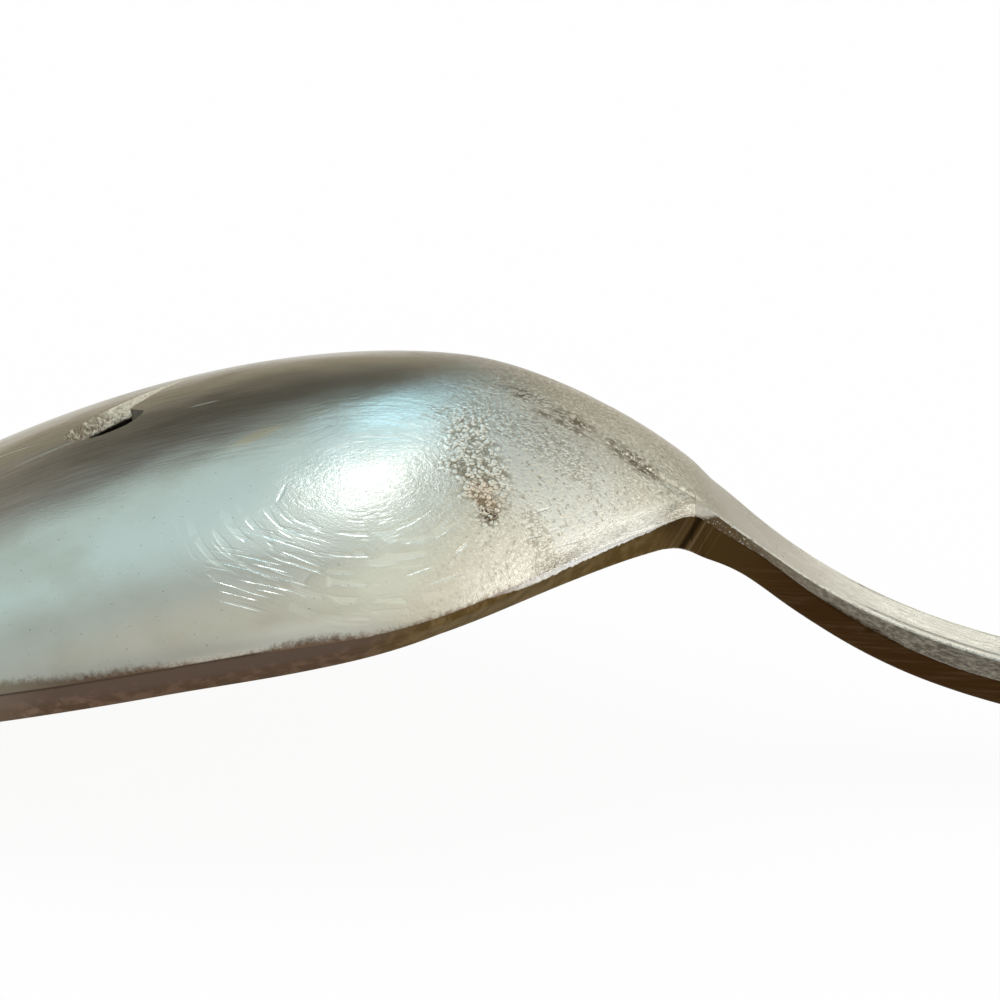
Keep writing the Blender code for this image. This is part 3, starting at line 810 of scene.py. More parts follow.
handleForged, handlePoints, handleMasks = handleBody()
bead = beadBody()
print("handle:", len(handleForged.data.vertices), "points, bead:", len(bead.data.vertices), "points")


# Small tools for the finishes
def newFinish(name):
    material = bpy.data.materials.new(name)
    material.use_nodes = True
    material.node_tree.nodes.clear()
    return material, material.node_tree


def feed(tree, socket, value):
    if isinstance(value, bpy.types.NodeSocket):
        tree.links.new(value, socket)
    elif value is not None:
        socket.default_value = value


def addNode(tree, kind, inputs, **settings):
    node = tree.nodes.new(kind)
    for key, value in settings.items():
        setattr(node, key, value)
    for key, value in inputs.items():
        feed(tree, node.inputs[key], value)
    return node


def calc(tree, operation, a, b=None):
    return addNode(tree, "ShaderNodeMath", {0: a, 1: b}, operation=operation).outputs[0]


def chain(tree, operation, values):
    result, *others = values
    for value in others:
        result = calc(tree, operation, result, value)
    return result


def times(tree, *values):
    return chain(tree, "MULTIPLY", values)


def total(tree, *values):
    return chain(tree, "ADD", values)


def most(tree, *values):
    return chain(tree, "MAXIMUM", values)


def less(tree, a, b):
    return calc(tree, "SUBTRACT", a, b)


def vectorCalc(tree, operation, a, b=None):
    node = addNode(tree, "ShaderNodeVectorMath", {0: a, 1: b}, operation=operation)
    return node.outputs["Value" if operation in ("DOT_PRODUCT", "LENGTH", "DISTANCE") else "Vector"]


def partsOf(tree, vector):
    return addNode(tree, "ShaderNodeSeparateXYZ", {0: vector}).outputs


# soft change from start to end as a value goes from low to high
def ramp(tree, value, low, high, start=0.0, end=1.0):
    node = addNode(tree, "ShaderNodeMapRange", {0: value, 1: low, 2: high, 3: start, 4: end},
                   interpolation_type="SMOOTHSTEP")
    return node.outputs[0]


def window(tree, value, come, go):
    return times(tree, ramp(tree, value, *come), ramp(tree, value, *go))


def rgba(colour):
    return colour if isinstance(colour, bpy.types.NodeSocket) else (*colour, 1.0)


def mixColour(tree, share, a, b, mode="MIX"):
    inputs = {0: share, 6: rgba(a), 7: rgba(b)}
    return addNode(tree, "ShaderNodeMix", inputs, data_type="RGBA", blend_type=mode).outputs[2]


# lays colours one over another: each layer is where it shows and its colour
def layered(tree, colour, *layers):
    for share, over in layers:
        colour = mixColour(tree, share, colour, over)
    return colour


def attributeOf(tree, name, output="Fac"):
    return addNode(tree, "ShaderNodeAttribute", {}, attribute_name=name).outputs[output]


# the place in the solid, in millimetres
def solidPlace(tree):
    place = addNode(tree, "ShaderNodeTexCoord", {}).outputs["Object"]
    return addNode(tree, "ShaderNodeVectorMath", {0: place, "Scale": 1000.0}, operation="SCALE").outputs[0]


# what a finish can tell of its place: on the plan, in the solid, and by the piece's masks
def placesOf(tree, *masks):
    at = SimpleNamespace(plan=attributeOf(tree, "form", "Vector"), solid=solidPlace(tree))
    at.along, at.across = partsOf(tree, at.plan)[:2]
    for name in masks:
        setattr(at, name, attributeOf(tree, name))
    return at


def noiseOf(tree, place, scale, detail=2.0, roughness=0.5, flat=False):
    inputs = {"Vector": place, "Scale": scale, "Detail": detail, "Roughness": roughness}
    return addNode(tree, "ShaderNodeTexNoise", inputs, noise_dimensions="2D" if flat else "3D").outputs[0]


# patches of noise, with the values between which they come
def patchy(tree, place, scale, detail, roughness, low, high, flat=False):
    return ramp(tree, noiseOf(tree, place, scale, detail, roughness, flat), low, high)


def stretched(tree, place, size):
    return addNode(tree, "ShaderNodeMapping", {"Vector": place, "Scale": size}).outputs[0]


# the place from a centre, along one heading, in lengths and widths
def turned(tree, place, centre, angle, length, width):
    inputs = {"Vector": place, "Location": centre, "Rotation": (0.0, 0.0, angle),
              "Scale": (length, width, 1.0)}
    return addNode(tree, "ShaderNodeMapping", inputs, vector_type="TEXTURE").outputs[0]


# fine lines along one heading
def brushed(tree, place, angle, length, spacing, low, shift):
    lines = turned(tree, place, (shift, 2.0 * shift, 0.0), math.radians(angle), length, spacing)
    return patchy(tree, lines, 1.0, 0.0, 0.5, low, low + 0.1, flat=True)


def brushing(tree, place, sets, apart):
    return total(tree, *(times(tree, brushed(tree, place, *lines, apart * number), depth)
                         for number, (*lines, depth) in enumerate(sets)))


# fine lines round one centre
def ringed(tree, place, centre, radius, arc, spacing, low):
    away = vectorCalc(tree, "SUBTRACT", place, centre)
    parts = partsOf(tree, away)
    along = times(tree, calc(tree, "ARCTAN2", parts[1], parts[0]), radius / arc)
    across = calc(tree, "DIVIDE", vectorCalc(tree, "LENGTH", away), spacing)
    polar = addNode(tree, "ShaderNodeCombineXYZ", {0: along, 1: across}).outputs[0]
    return patchy(tree, polar, 1.0, 1.0, 0.5, low, low + 0.15, flat=True)


# scratches that taper to both ends, as long thin ellipses: from x and y, to x and y, width
def strokesOf(tree, place, rows):
    strokes = []
    for x, y, toX, toY, width in rows:
        start, end = formPlace(x, y), formPlace(toX, toY)
        run = end - start
        lengthwise = turned(tree, place, (start + end) / 2, math.atan2(run.y, run.x), run.length / 2, width)
        strokes.append(ramp(tree, vectorCalc(tree, "LENGTH", lengthwise), 1.0, 0.3))
    return most(tree, *strokes)


# round patch on the plan: x and y, where it is full and where it ends
def spot(tree, place, x, y, full, none):
    return ramp(tree, vectorCalc(tree, "DISTANCE", place, formPlace(x, y)), none, full)


# slanting dark and light stripes on the sides of the neck, beside the joint
neckSides = {"slant": 0.57, "jointX": 0.12, "reach": (1.6, 0.4), "line": (0.26, 0.06),
             "stripes": (4.5, 2.0, 0.5, 0.5, 0.65), "strength": 0.8,
             "dark": (0.022, 0.013, 0.005), "light": (0.15, 0.105, 0.055)}


def neckStripes(tree, solid, colour):
    sides = SimpleNamespace(**neckSides)
    x, _, z = partsOf(tree, solid)
    middle = form.rimAtNeck + lift - form.bowlThickness / 2
    joint = neckX + sides.jointX - sides.slant * middle
    fromJoint = less(tree, less(tree, x, times(tree, z, sides.slant)), joint)
    line = addNode(tree, "ShaderNodeCombineXYZ", {0: fromJoint}).outputs[0]
    away = calc(tree, "ABSOLUTE", fromJoint)
    stripes = times(tree, patchy(tree, line, *sides.stripes), ramp(tree, away, *sides.reach), sides.strength)
    return layered(tree, colour, (stripes, sides.light), (ramp(tree, away, *sides.line), sides.dark))


# heights in millimetres become the shading normal of a bare metal
def metal(material, colour, roughness, height, edgeTint):
    tree = material.node_tree
    bump = addNode(tree, "ShaderNodeBump", {"Strength": 1.0, "Distance": mm, "Height": height})
    shader = addNode(tree, "ShaderNodeBsdfPrincipled", {
        "Base Color": rgba(colour), "Roughness": roughness, "Normal": bump.outputs[0], "Metallic": 1.0,
        "Specular Tint": rgba(edgeTint)})
    addNode(tree, "ShaderNodeOutputMaterial", {0: shader.outputs[0]})
    return material


# Bowl's finish: plate worn by polishing, with a brown rim, partly tarnish and partly a painted reflection,
# painted highlights, glints, sheen and shade, and a pitted, solder-stained patch
bowlFinish = {
    "silver": (0.82, 0.80, 0.74), "patina": (0.62, 0.57, 0.47), "bright": (0.96, 0.95, 0.90),
    "edgeTint": (0.60, 0.56, 0.48), "streak": (0.36, 0.32, 0.25), "crease": (0.20, 0.165, 0.125),
    "creep": (0.46, 0.38, 0.29), "creepDark": (0.23, 0.155, 0.11),
    "rimBrown": (0.096, 0.060, 0.043), "rimCopper": (0.20, 0.13, 0.095),
    "rimGrey": (0.105, 0.072, 0.054), "rimPale": (0.165, 0.125, 0.095),
    "shoulderBrown": (0.10, 0.062, 0.022), "shoulderTan": (0.17, 0.113, 0.050),
    "neckBrown": (0.098, 0.060, 0.024),
    "pit": (0.33, 0.285, 0.22), "grain": (1.0, 0.98, 0.92), "gleaming": (1.0, 1.0, 0.97),
    "cool": (0.93, 0.96, 0.97), "tint": (0.92, 0.70, 0.44),
    "stain": (0.95, 0.78, 0.66), "stainDark": (0.10, 0.06, 0.04), "polish": 0.17, "dull": 0.40,
    # noises: scale, detail, roughness, and for patches the values between which they come
    "cloud": (0.16, 4.0, 0.6, 0.42, 0.75),
    "drawn": (1.0, 4.0, 0.65, 0.4, 0.68), "drawnSize": (0.40, 5.0, 1.0),
    "smudge": (2.2, 5.0, 0.75, 0.35, 0.60), "flecks": (6.0, 3.0, 0.6, 0.51, 0.60),
    "dusk": (4.5, 3.0, 0.65, 0.44, 0.34), "specks": (7.0, 1.0, 0.5, 0.73, 0.78),
    "blotch": (5.0, 3.0, 0.7, 0.50, 0.58), "ringBreaks": (1.1, 1.0, 0.5, 0.32, 0.52),
    "mottle": (1.6, 5.0, 0.65), "specky": (4.0, 4.0, 0.75),
    "peel": (7.0, 3.0, 0.7), "peelDepth": 0.042, "grit": (16.0, 0.0), "gritDepth": 0.0018,
    "dents": (0.5, 0.0), "dentDepth": 0.03,
    # spots: x and y, where they are full and where they end
    "wornSpot": (-10.5, -9.5, 4.5, 9.5), "coolSpot": (-5.4, -7.2, 1.8, 4.6),
    "stainSpot": (-8.2, -9.8, 0.3, 1.25), "burntSpot": (-8.0, -10.5, 0.25, 0.5),
    "fanSpot": (-16.0, -14.0, 0.6, 2.9), "ringSpot": (-12.9, -10.0, 5.5, 8.5),
    "ringCore": (-12.9, -10.0, 0.9, 2.4), "halo": (-12.9, -10.0, 1.5, 5.0),
    # stretches: from and to x, or distances from the rim or the middle line, and a change of value
    "drawnAcross": (9.0, 6.5), "drawnAlong": (-13.0, -19.0, 0.12, 1.0), "neckward": (-12.0, -6.0),
    "shine": ((-5.4, -3.4), (-0.6, -2.0)), "shineRim": (1.5, 0.6),
    "gleam": ((-19.0, -15.0), (-10.0, -13.0)), "gleamRim": (1.6, 1.0),
    "neckDull": (-1.3, -0.2), "neckDullRim": (1.0, 0.3), "peelAlong": (-13.0, -7.0, 0.10, 1.0),
    "copperAlong": (-20.5, -24.5, 0.5, 1.0), "paleAlong": (-23.5, -26.5, 0.0, 0.75),
    "tanAlong": (-13.5, -9.5), "neckAlong": (-2.4, -0.6),
    "creepReach": (1.05, 0.68), "creepEnd": (-5.8, -8.2), "creepChange": (-26.5, -22.0),
    "creepBends": ((-27.0, -22.0, -0.13, 0.17), (-21.0, -18.0, 0.0, 0.26), (-17.0, -14.5, 0.0, -0.18),
                   (-14.5, -11.5, 0.0, 0.32)),
    "cornerReach": (0.50, 0.43), "cornerEnd": (-15.0, -16.5),
    "bareAlong": (-8.2, -5.8, 0.0, 0.72), "bareRagged": (-8.5, -6.5),
    # heading in degrees, length, spacing, how sparse, depth
    "brushing": ((2.0, 5.0, 0.07, 0.60, 0.0005), (11.0, 3.0, 0.06, 0.62, 0.0006),
                 (-9.0, 2.2, 0.05, 0.62, 0.0005), (38.0, 2.0, 0.06, 0.64, 0.0012),
                 (-35.0, 1.6, 0.06, 0.64, 0.0010)),
    "brushShift": 7.0, "brushAlong": (-7.0, -11.0, 0.12, 1.0),
    # radius, length of the lines, spacing, how sparse
    "rings": (5.0, 2.6, 0.34, 0.47), "ringDepth": 0.010, "ringBelow": (-0.8, -2.6),
    "ringAlong": (-16.2, -13.5, 0.0, 0.3),
    # heading, length, spacing, how sparse, shift
    "fan": (-24.0, 2.8, 0.22, 0.53, 3.0), "fanDepth": 0.015,
    # from x and y, to x and y, width: a warm tint, painted shade beside the tongue's raised edge, scratches
    # painted bright as glints and edge highlights
    "tintStrokes": ((-18.3, -7.2, -15.9, -5.4, 0.55),),
    "creases": ((-8.2, -1.2, -5.7, -2.3, 0.85), (-6.2, -2.2, -3.7, -2.9, 0.95), (-4.2, -2.8, -0.8, -3.4, 0.8),
                (-7.2, -3.0, -3.6, -3.6, 0.4)),
    "strokes": ((-18.2, -15.1, -15.6, -15.8, 0.09), (-18.0, -14.85, -16.2, -15.4, 0.05),
                (-17.3, -14.55, -14.8, -15.2, 0.06), (-9.2, -2.0, -7.7, -2.7, 0.06),
                (-11.0, -5.05, -9.3, -6.3, 0.05), (-16.0, -11.3, -15.7, -10.1, 0.12),
                (-11.2, -11.4, -10.7, -10.5, 0.06), (-6.75, -10.6, -5.2, -8.7, 0.05),
                (-6.4, -9.3, -5.5, -8.2, 0.05), (-9.3, -13.0, -8.6, -11.9, 0.06),
                (-5.4, -9.5, -3.9, -7.7, 0.05), (-10.6, -14.6, -8.0, -12.5, 0.07),
                (-11.2, -14.4, -9.7, -13.4, 0.06), (-4.6, -5.4, -3.7, -5.1, 0.05),
                (-20.1, -1.75, -18.8, -1.6, 0.06), (-28.6, -3.0, -22.2, -1.35, 0.16),
                (-29.0, 0.7, -25.6, -0.25, 0.16)),
    "strokeDepth": 0.018,
}


# depth of the scratches, and where they are painted bright as glints round the lamp's highlight
def bowlScratches(tree, at, finish):
    lines = times(tree, brushing(tree, at.plan, finish.brushing, finish.brushShift),
                  ramp(tree, at.worn, 0.0, 1.0, 0.08, 1.0), ramp(tree, at.along, *finish.brushAlong))
    centre = formPlace(*finish.ringSpot[:2])
    below = partsOf(tree, vectorCalc(tree, "SUBTRACT", at.plan, centre))[1]
    lowHere = most(tree, ramp(tree, below, *finish.ringBelow), ramp(tree, at.along, *finish.ringAlong))
    rings = times(tree, ringed(tree, at.plan, centre, *finish.rings), spot(tree, at.plan, *finish.ringSpot),
                  lowHere, less(tree, 1.0, spot(tree, at.plan, *finish.ringCore)),
                  patchy(tree, at.plan, *finish.ringBreaks, flat=True))
    fan = times(tree, brushed(tree, at.plan, *finish.fan), spot(tree, at.plan, *finish.fanSpot))
    strokes = strokesOf(tree, at.plan, finish.strokes)
    height = total(tree, lines, times(tree, rings, finish.ringDepth), times(tree, fan, finish.fanDepth),
                   times(tree, strokes, finish.strokeDepth))
    return height, total(tree, strokes, times(tree, rings, 0.7), times(tree, fan, 0.6))


# pits and grains, with one stained spot
def pittedColour(tree, at, finish):
    rough = mixColour(tree, ramp(tree, at.grain, 0.05, 0.4), finish.pit, finish.grain)
    stained = mixColour(tree, 1.0, rough, finish.stain, "MULTIPLY")
    burnt = times(tree, spot(tree, at.plan, *finish.burntSpot), patchy(tree, at.solid, *finish.blotch))
    return layered(tree, rough, (times(tree, spot(tree, at.plan, *finish.stainSpot), 0.65), stained),
                   (burnt, finish.stainDark))


def plateColour(tree, at, finish, scratches):
    neckward = ramp(tree, at.along, *finish.neckward)
    # painted shade beside the tongue's raised edge, broken up by noise
    shadeBesideTongue = times(tree, strokesOf(tree, at.plan, finish.creases), patchy(tree, at.solid, *finish.smudge))
    # painted highlight: a white line along the shoulder's edge, fading out before the neck
    shine = times(tree, window(tree, at.along, *finish.shine), ramp(tree, at.toRim, *finish.shineRim))
    dulled = times(tree, ramp(tree, at.along, *finish.neckDull), ramp(tree, at.toRim, *finish.neckDullRim))
    # painted highlight: a near-white band within about a millimetre of the rim, from x -19 to -10
    gleam = times(tree, window(tree, at.along, *finish.gleam), ramp(tree, at.toRim, *finish.gleamRim))
    return layered(
        tree, finish.silver, (times(tree, at.cloudy, 0.55), finish.patina),
        (times(tree, at.drawn, 0.32), finish.streak),
        (times(tree, strokesOf(tree, at.plan, finish.tintStrokes), 0.5), finish.tint),
        # painted glints: scratches, rings and fan painted bright round the lamp's highlight
        (shadeBesideTongue, finish.crease), (times(tree, scratches, 0.7), finish.bright),
        # painted sheen: a light bluish patch near the neck
        (times(tree, spot(tree, at.plan, *finish.coolSpot), 0.8), finish.cool),
        (times(tree, patchy(tree, at.solid, *finish.flecks), neckward), finish.grain),
        (times(tree, patchy(tree, at.solid, *finish.dusk), neckward, 0.6), finish.streak),
        (times(tree, patchy(tree, at.solid, *finish.specks), 0.5), finish.pit),
        (at.pitted, pittedColour(tree, at, finish)), (shine, finish.gleaming),
        (times(tree, dulled, 0.6), finish.patina), (times(tree, gleam, 0.8), finish.grain))


# rim: brown, coppery in patches, tan along the shoulder, darkest at the neck, browner lower down; partly
# tarnish and partly a painted reflection of the dark surface under the spoon
def rimColour(tree, at, finish):
    mottle = noiseOf(tree, at.solid, *finish.mottle)
    copper = times(tree, ramp(tree, mottle, 0.42, 0.62), ramp(tree, at.along, *finish.copperAlong))
    lowBand = ramp(tree, total(tree, at.down, times(tree, mottle, 0.5)), 0.35, 0.75)
    tan = mixColour(tree, ramp(tree, mottle, 0.4, 0.62), finish.shoulderBrown, finish.shoulderTan)
    rim = layered(tree, finish.rimGrey, (lowBand, mixColour(tree, copper, finish.rimBrown, finish.rimCopper)),
                  (ramp(tree, at.along, *finish.paleAlong), finish.rimPale),
                  (ramp(tree, at.along, *finish.tanAlong), tan),
                  (ramp(tree, at.along, *finish.neckAlong), finish.neckBrown))
    return neckStripes(tree, at.solid, rim)


# tarnish creeps from the rim onto the back; the rim's colour, partly a painted reflection, also covers the
# outer corner from about x -15 towards the tip; towards the neck the rim's upper edge is rubbed bare
def tarnishAndRimReflection(tree, at, finish, colour):
    specky = noiseOf(tree, at.solid, *finish.specky)
    reach = total(tree, at.toRim, ramp(tree, specky, 0.3, 0.7, 0.09, -0.09),
                  *(ramp(tree, at.along, *bend) for bend in finish.creepBends))
    creeping = times(tree, ramp(tree, reach, *finish.creepReach), ramp(tree, at.along, *finish.creepEnd))
    creep = mixColour(tree, ramp(tree, at.along, *finish.creepChange), finish.creep, finish.creepDark)
    corner = times(tree, ramp(tree, at.toRim, *finish.cornerReach), ramp(tree, at.along, *finish.cornerEnd))
    ragged = times(tree, ramp(tree, specky, 0.3, 0.7, -0.12, 0.12), ramp(tree, at.along, *finish.bareRagged))
    browned = total(tree, less(tree, at.edge, ramp(tree, at.along, *finish.bareAlong)), ragged)
    browned = most(tree, ramp(tree, browned, 0.0, 0.08), corner)
    return layered(tree, colour, (creeping, creep), (browned, rimColour(tree, at, finish)),
                   (times(tree, at.inside, 0.6), finish.patina))


def bowlMaterial():
    finish = SimpleNamespace(**bowlFinish)
    material, tree = newFinish("worn silver plate")
    at = placesOf(tree, "edge", "inside", "down", "toRim", "pitted", "grain")
    at.worn = spot(tree, at.plan, *finish.wornSpot)
    at.cloudy = patchy(tree, at.solid, *finish.cloud)
    drawn = patchy(tree, stretched(tree, at.plan, finish.drawnSize), *finish.drawn, flat=True)
    at.drawn = times(tree, drawn, ramp(tree, calc(tree, "ABSOLUTE", at.across), *finish.drawnAcross),
                     ramp(tree, at.along, *finish.drawnAlong))
    scratchHeight, scratches = bowlScratches(tree, at, finish)
    colour = tarnishAndRimReflection(tree, at, finish, plateColour(tree, at, finish, scratches))

    dullness = most(tree, times(tree, at.worn, 0.3), at.edge, at.pitted, times(tree, at.cloudy, 0.3))
    dullness = total(tree, dullness, times(tree, at.drawn, 0.12))
    roughness = ramp(tree, dullness, 0.0, 1.0, finish.polish, finish.dull)
    halo = times(tree, spot(tree, at.plan, *finish.halo), 0.32)
    peelHere = most(tree, ramp(tree, at.along, *finish.peelAlong), halo)
    peelHere = times(tree, peelHere, ramp(tree, at.edge, 0.0, 0.3, 1.0, 0.15))
    peel = times(tree, noiseOf(tree, at.solid, *finish.peel), finish.peelDepth, peelHere)
    grit = times(tree, noiseOf(tree, at.solid, *finish.grit), finish.gritDepth)
    dents = times(tree, noiseOf(tree, at.solid, *finish.dents), finish.dentDepth)
    height = less(tree, total(tree, peel, grit, dents), scratchHeight)
    return metal(material, colour, roughness, height, finish.edgeTint)


# Sawn walls of the whorl: bright and granular, painted lighter towards the tail as a painted highlight, with
# painted shade low down and in the notches
wallFinish = {"bright": (1.0, 0.97, 0.89), "dark": (0.42, 0.36, 0.29), "grime": (0.010, 0.008, 0.007),
              "roughness": 0.42, "grain": (5.5, 3.0, 0.6), "grainHeight": 0.08, "shade": (0.36, 0.62),
              "tail": (-24.6, -22.8, -0.10, 0.20), "grimeDepth": (0.60, 0.72), "notchGrime": 0.85}


def wallMaterial():
    finish = SimpleNamespace(**wallFinish)
    material, tree = newFinish("sawn silver wall")
    at = placesOf(tree, "sunk", "notch")
    grain = noiseOf(tree, at.solid, *finish.grain)
    # from x -24.6 to -22.8 the walls grow lighter towards the tail: a painted highlight; the grain is the
    # wall's own
    shade = total(tree, grain, ramp(tree, at.along, *finish.tail))
    # painted shade: near black deep down the walls and in the notch where each tail starts
    shadedShare = most(tree, ramp(tree, at.sunk, *finish.grimeDepth), times(tree, at.notch, finish.notchGrime))
    colour = layered(tree, finish.dark, (ramp(tree, shade, *finish.shade), finish.bright),
                     (shadedShare, finish.grime))
    return metal(material, colour, finish.roughness, times(tree, grain, finish.grainHeight), finish.bright)


# Pitted patch beside the joint: capsules with grains grown on them
pitting = {
    # from x and y, half width, to x and y, half width, strength, grain size
    "patches": ((-8.9, -5.6, 0.9, -8.6, -8.6, 1.3, 0.85, 0.185),
                (-8.6, -8.6, 1.3, -8.0, -10.4, 0.75, 1.0, 0.20),
                (-6.15, -9.7, 0.6, -5.8, -10.8, 0.45, 0.5, 0.19),
                (-8.6, -4.9, 1.5, -5.2, -5.4, 1.4, 0.45, 0.13)),
    # band along the shoulder's edge: width, where it comes and goes, strength, grain size
    "band": (0.42, (-7.0, -5.5), (0.0, -0.8), 0.8, 0.085),
    "height": 0.07, "sink": 0.03, "cuts": 2, "ragged": 0.55, "raggedScale": 1.3,
    "reachX": (-12.0, 0.0), "reachY": -1.5, "skin": 0.03, "grainEdge": 0.28,
}


def patchStrength(places):
    strength = np.zeros(len(places))
    size = np.full(len(places), 0.15)
    ragged = np.array([noise.noise(Vector(p) * pitting["raggedScale"]) for p in places]) * pitting["ragged"]
    for x, y, wide, toX, toY, toWide, share, grainSize in pitting["patches"]:
        run = np.array((toX - x, toY - y))
        away = places[:, :2] - (x, y)
        along = np.clip(away @ run / (run @ run), 0.0, 1.0)
        gap = np.linalg.norm(away - along[:, None] * run, axis=1)
        gap = gap / (wide + (toWide - wide) * along) + ragged
        here = share * smoothStep(0.0, 1.0, (1.3 - gap) / 0.8)
        size = np.where(here > strength, grainSize, size)
        strength = np.maximum(strength, here)
    width, come, go, share, grainSize = pitting["band"]
    toEdge = halfWidth(places[:, 0]) - np.abs(places[:, 1])
    toEdge = toEdge * math.cos(math.radians(form.shoulderAngle))
    here = share * smoothStep(width, 0.25 * width, toEdge + 0.2 * ragged)
    here = here * smoothStep(*come, places[:, 0]) * smoothStep(*go, places[:, 0])
    return np.maximum(strength, here), np.where(here > strength, grainSize, size)


def patchReach(places):
    return between(places[:, 0], pitting["reachX"]) & (places[:, 1] < pitting["reachY"])


def growGrains(piece):
    bm = bmesh.new()
    bm.from_mesh(piece.data)
    centres = fromFrame(np.array([f.calc_center_median() for f in bm.faces]))
    reach = patchReach(centres) & np.array([f.normal.z > 0.05 for f in bm.faces])
    strength = np.zeros(len(centres))
    strength[reach] = patchStrength(centres[reach])[0]
    bm.faces.ensure_lookup_table()
    chosen = [bm.faces[k] for k in np.flatnonzero(strength > 0.03)]
    edges = list({edge for face in chosen for edge in face.edges})
    bmesh.ops.subdivide_edges(bm, edges=edges, cuts=pitting["cuts"], use_grid_fill=True)
    bm.normal_update()
    places = fromFrame(np.array([v.co for v in bm.verts]))
    normals = np.array([v.normal for v in bm.verts])
    over = backOver(places[:, 0], places[:, 1])
    onBack = np.abs(over[:, 2] - places[:, 2]) < pitting["skin"]
    strength = np.zeros(len(places))
    grain = np.zeros(len(places))
    here = np.flatnonzero(onBack & patchReach(places))
    strength[here], size = patchStrength(places[here])
    for k, grainSize in zip(here, size):
        if strength[k] > 0.0:
            gaps, spots = noise.voronoi(Vector(places[k]) / grainSize)
            tall = 0.55 + 0.45 * noise.cell(spots[0] * 1.7)
            grain[k] = tall * smoothStep(0.0, pitting["grainEdge"], gaps[1] - gaps[0])
    rise = strength * (pitting["height"] * grain - pitting["sink"])
    places = places + normals * rise[:, None]
    for v, place in zip(bm.verts, toFrame(places)):
        v.co = place
    bm.to_mesh(piece.data)
    bm.free()
    return strength, grain


sawnWall = wallMaterial()
cutters, dropFrames = dropCutters()
for cutter in cutters:
    cutter.data.materials.append(sawnWall)
bowlShell.data.materials.append(bowlMaterial())
cutWith(bowlShell, cutters + [rebateCutter()])
print("bowl cut:", len(bowlShell.data.vertices), "points")
pittedShare, grainShare = growGrains(bowlShell)
knockEdge(bowlShell, bowlMesh["knocks"])
print("grains grown:", len(bowlShell.data.vertices), "points")


# how far points lie below the back
def sunkBelow(places):
    return backOver(places[:, 0], places[:, 1])[:, 2] - places[:, 2]


bowlPlaces = markPiece(bowlShell, bowlPoints, bowlMasks, bowlMesh["masks"])
for name, values in (("notch", notchShare(bowlPlaces, dropFrames)), ("pitted", pittedShare),
                     ("grain", grainShare), ("sunk", sunkBelow(bowlPlaces))):
    setAttribute(bowlShell, name, values)

# Handle's finish: cream back, darker near the neck as painted shade, with lips rubbed bright and painted as
# highlight lines, worn grey bevels, and brown sides, partly tarnish and partly a painted reflection
handleFinish = {
    "silver": (0.56, 0.52, 0.45), "cream": (0.98, 0.97, 0.92), "patina": (0.58, 0.54, 0.46),
    "edgeTint": (0.92, 0.91, 0.88), "lip": (1.0, 0.98, 0.92), "groove": (0.10, 0.08, 0.055),
    "bevel": (0.165, 0.135, 0.11), "bevelBright": (0.43, 0.38, 0.325), "bevelNeck": (0.16, 0.11, 0.06),
    "side": (0.048, 0.022, 0.007), "sideLight": (0.085, 0.055, 0.026), "sideNeck": (0.070, 0.040, 0.013),
    "polish": 0.24, "dull": 0.45,
    # noises: scale, detail, roughness, and for patches the values between which they come
    "cloud": (0.3, 4.0, 0.6, 0.4, 0.7), "plateFlecks": (6.0, 3.0, 0.6, 0.54, 0.66),
    "neckFlecks": (14.0, 2.0, 0.5, 0.62, 0.70), "lipPatches": (5.0, 3.0, 0.7, 0.3, 0.5),
    "drawn": (1.0, 3.0, 0.65), "drawnSize": (0.35, 7.0, 7.0),
    "scraped": (1.0, 5.0, 0.8), "scrapedSize": (2.2, 6.0, 6.0),
    "dents": (0.7, 0.0), "dentDepth": 0.03, "chipDepth": 0.12,
    # stretches: from and to x, and a change of value
    "creamFrom": (1.2, 9.5), "plateFade": (0.1, 3.2), "bevelNeckFade": (6.5, 1.0), "sideNeckFade": (5.0, 0.5),
    "bevelLow": (0.2, 1.7, 0.75, 0.0), "rubbed": ((4.0, 5.8), (10.5, 7.5)), "rubbedRise": 0.38,
    "peelAlong": (5.0, 0.2, 0.012, 0.042),
    # heading in degrees, length, spacing, how sparse, depth
    "brushing": ((0.0, 6.0, 0.07, 0.56, 0.0025), (4.0, 4.0, 0.06, 0.60, 0.0030),
                 (-6.0, 3.0, 0.05, 0.62, 0.0030), (52.0, 1.2, 0.07, 0.66, 0.004)),
    "brushShift": 5.0,
}


def scuffedBevel(tree, at, finish):
    neck = mixColour(tree, patchy(tree, at.solid, *finish.neckFlecks), finish.bevelNeck, finish.lip)
    return layered(tree, finish.bevel, (ramp(tree, at.scraped, 0.42, 0.62), finish.bevelBright),
                   (ramp(tree, at.along, *finish.bevelNeckFade), neck))


# brown sides: partly tarnish and partly a painted reflection of the dark surface beside the spoon
def handleSide(tree, at, finish):
    side = layered(tree, finish.side, (times(tree, ramp(tree, at.drawn, 0.45, 0.7), 0.6), finish.sideLight),
                   (ramp(tree, at.along, *finish.sideNeckFade), finish.sideNeck))
    return neckStripes(tree, at.solid, side)


